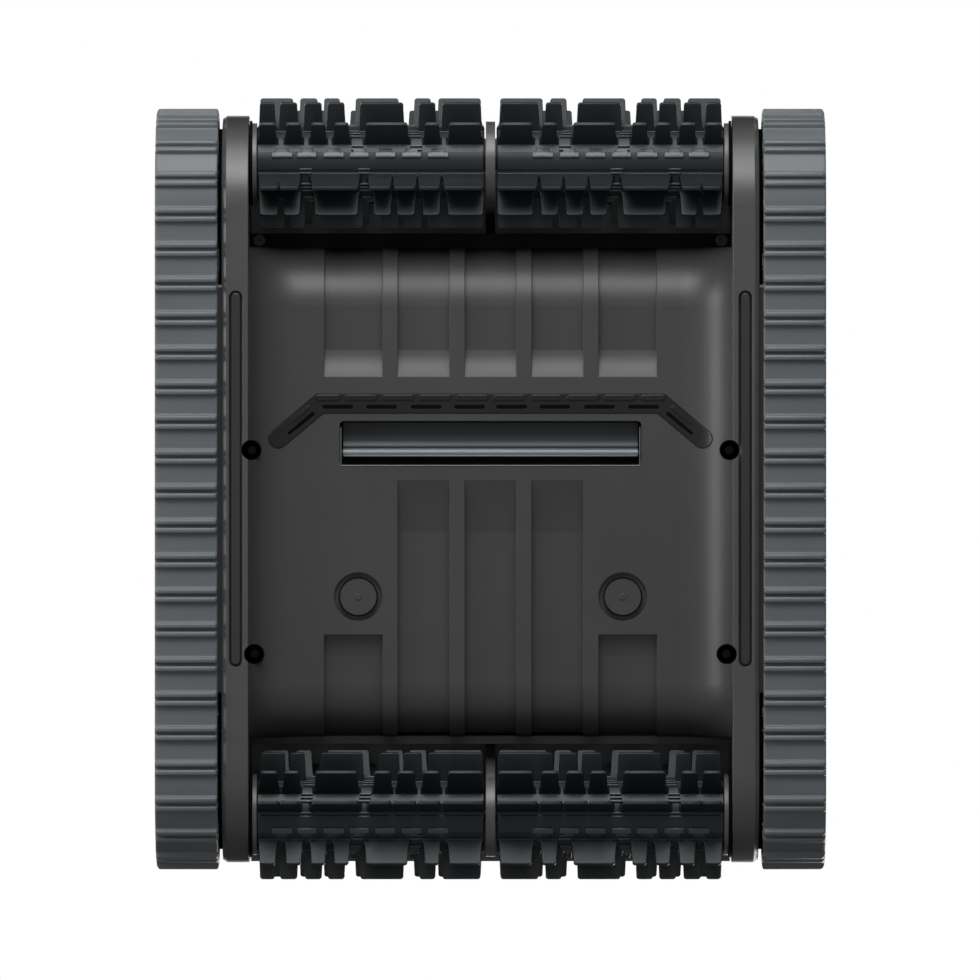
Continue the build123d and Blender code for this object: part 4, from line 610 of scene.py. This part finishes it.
def area(name, loc, target, size, power, size_y=None, colour=(1, 1, 1)):
    d = bpy.data.lights.new(name, "AREA")
    d.shape = "RECTANGLE"; d.size = size; d.size_y = size_y or size
    d.energy = power; d.color = colour
    o = bpy.data.objects.new(name, d)
    scene.collection.objects.link(o)
    o.location = loc
    v = Vector(target) - Vector(loc)
    o.rotation_euler = v.to_track_quat("-Z", "Y").to_euler()
    o.visible_camera = False
    return o


area("key", (0.12, 1.50, -0.86), (0.0, 0.0, 0.03), 1.45, 27)
area("side", (1.6, 0.30, -0.42), (0.0, 0.0, 0.03), 0.7, 16)
area("fill_low", (0.10, 1.04, -0.98), (0, 0.06, 0.03), 0.6, 7.0)
area("top_key", (-1.2, -1.4, 2.0), (0, 0, 0.1), 1.2, 42)
area("top_fill", (1.6, 1.0, 1.6), (0, 0, 0.1), 1.4, 22)
area("top_side", (-1.6, 1.2, 0.9), (0, 0, 0.1), 1.2, 14)

sky = bpy.data.lights.new("overhead", "SUN")
sky.energy = 1.1; sky.angle = math.radians(35)
sky_o = bpy.data.objects.new("overhead", sky)
scene.collection.objects.link(sky_o)
sky_o.location = (0, 0, 3)

world = bpy.data.worlds.new("studio")
scene.world = world
world.use_nodes = True
wt = world.node_tree
wt.nodes.clear()
wo = wt.nodes.new("ShaderNodeOutputWorld")
bg_l = wt.nodes.new("ShaderNodeBackground"); bg_l.inputs[0].default_value = (1, 1, 1, 1); bg_l.inputs[1].default_value = 0.26
bg_c = wt.nodes.new("ShaderNodeBackground"); bg_c.inputs[0].default_value = (1, 1, 1, 1); bg_c.inputs[1].default_value = 1.0
wtc = wt.nodes.new("ShaderNodeTexCoord")
wsep = wt.nodes.new("ShaderNodeSeparateXYZ")
wmr = wt.nodes.new("ShaderNodeMapRange")
wmr.inputs["From Min"].default_value = -0.45; wmr.inputs["From Max"].default_value = 0.15
wmr.inputs["To Min"].default_value = 0.40; wmr.inputs["To Max"].default_value = 0.10
wt.links.new(wtc.outputs["Generated"], wsep.inputs[0])
wt.links.new(wsep.outputs["Z"], wmr.inputs["Value"])
wt.links.new(wmr.outputs[0], bg_l.inputs[1])
lp = wt.nodes.new("ShaderNodeLightPath")
mx = wt.nodes.new("ShaderNodeMixShader")
wt.links.new(lp.outputs["Is Camera Ray"], mx.inputs[0])
wt.links.new(bg_l.outputs[0], mx.inputs[1]); wt.links.new(bg_c.outputs[0], mx.inputs[2])
wt.links.new(mx.outputs[0], wo.inputs[0])

# pale floor, seen from above only
fm = bpy.data.materials.new("pale_floor")
fm.use_nodes = True
ft = fm.node_tree
ft.nodes.clear()
fo = ft.nodes.new("ShaderNodeOutputMaterial")
fd = ft.nodes.new("ShaderNodeBsdfDiffuse")
ftc = ft.nodes.new("ShaderNodeTexCoord")
fn = ft.nodes.new("ShaderNodeTexNoise"); fn.inputs["Scale"].default_value = 3.0
fr = ft.nodes.new("ShaderNodeValToRGB")
fr.color_ramp.elements[0].color = (0.74, 0.74, 0.73, 1); fr.color_ramp.elements[1].color = (0.80, 0.80, 0.79, 1)
ft.links.new(ftc.outputs["Object"], fn.inputs["Vector"]); ft.links.new(fn.outputs[0], fr.inputs[0])
ft.links.new(fr.outputs[0], fd.inputs[0])
fg = ft.nodes.new("ShaderNodeNewGeometry")
fx = ft.nodes.new("ShaderNodeMixShader")
fp = ft.nodes.new("ShaderNodeBsdfTransparent")
ft.links.new(fg.outputs["Backfacing"], fx.inputs[0])
ft.links.new(fd.outputs[0], fx.inputs[1]); ft.links.new(fp.outputs[0], fx.inputs[2])
ft.links.new(fx.outputs[0], fo.inputs[0])
me = bpy.data.meshes.new("floor")
me.from_pydata([(-6, -6, -0.0005), (6, -6, -0.0005), (6, 6, -0.0005), (-6, 6, -0.0005)], [], [(0, 1, 2, 3)])
floor = bpy.data.objects.new("floor", me)
scene.collection.objects.link(floor)
me.materials.append(fm)
floor.visible_shadow = False
floor.visible_diffuse = False
floor.visible_glossy = False
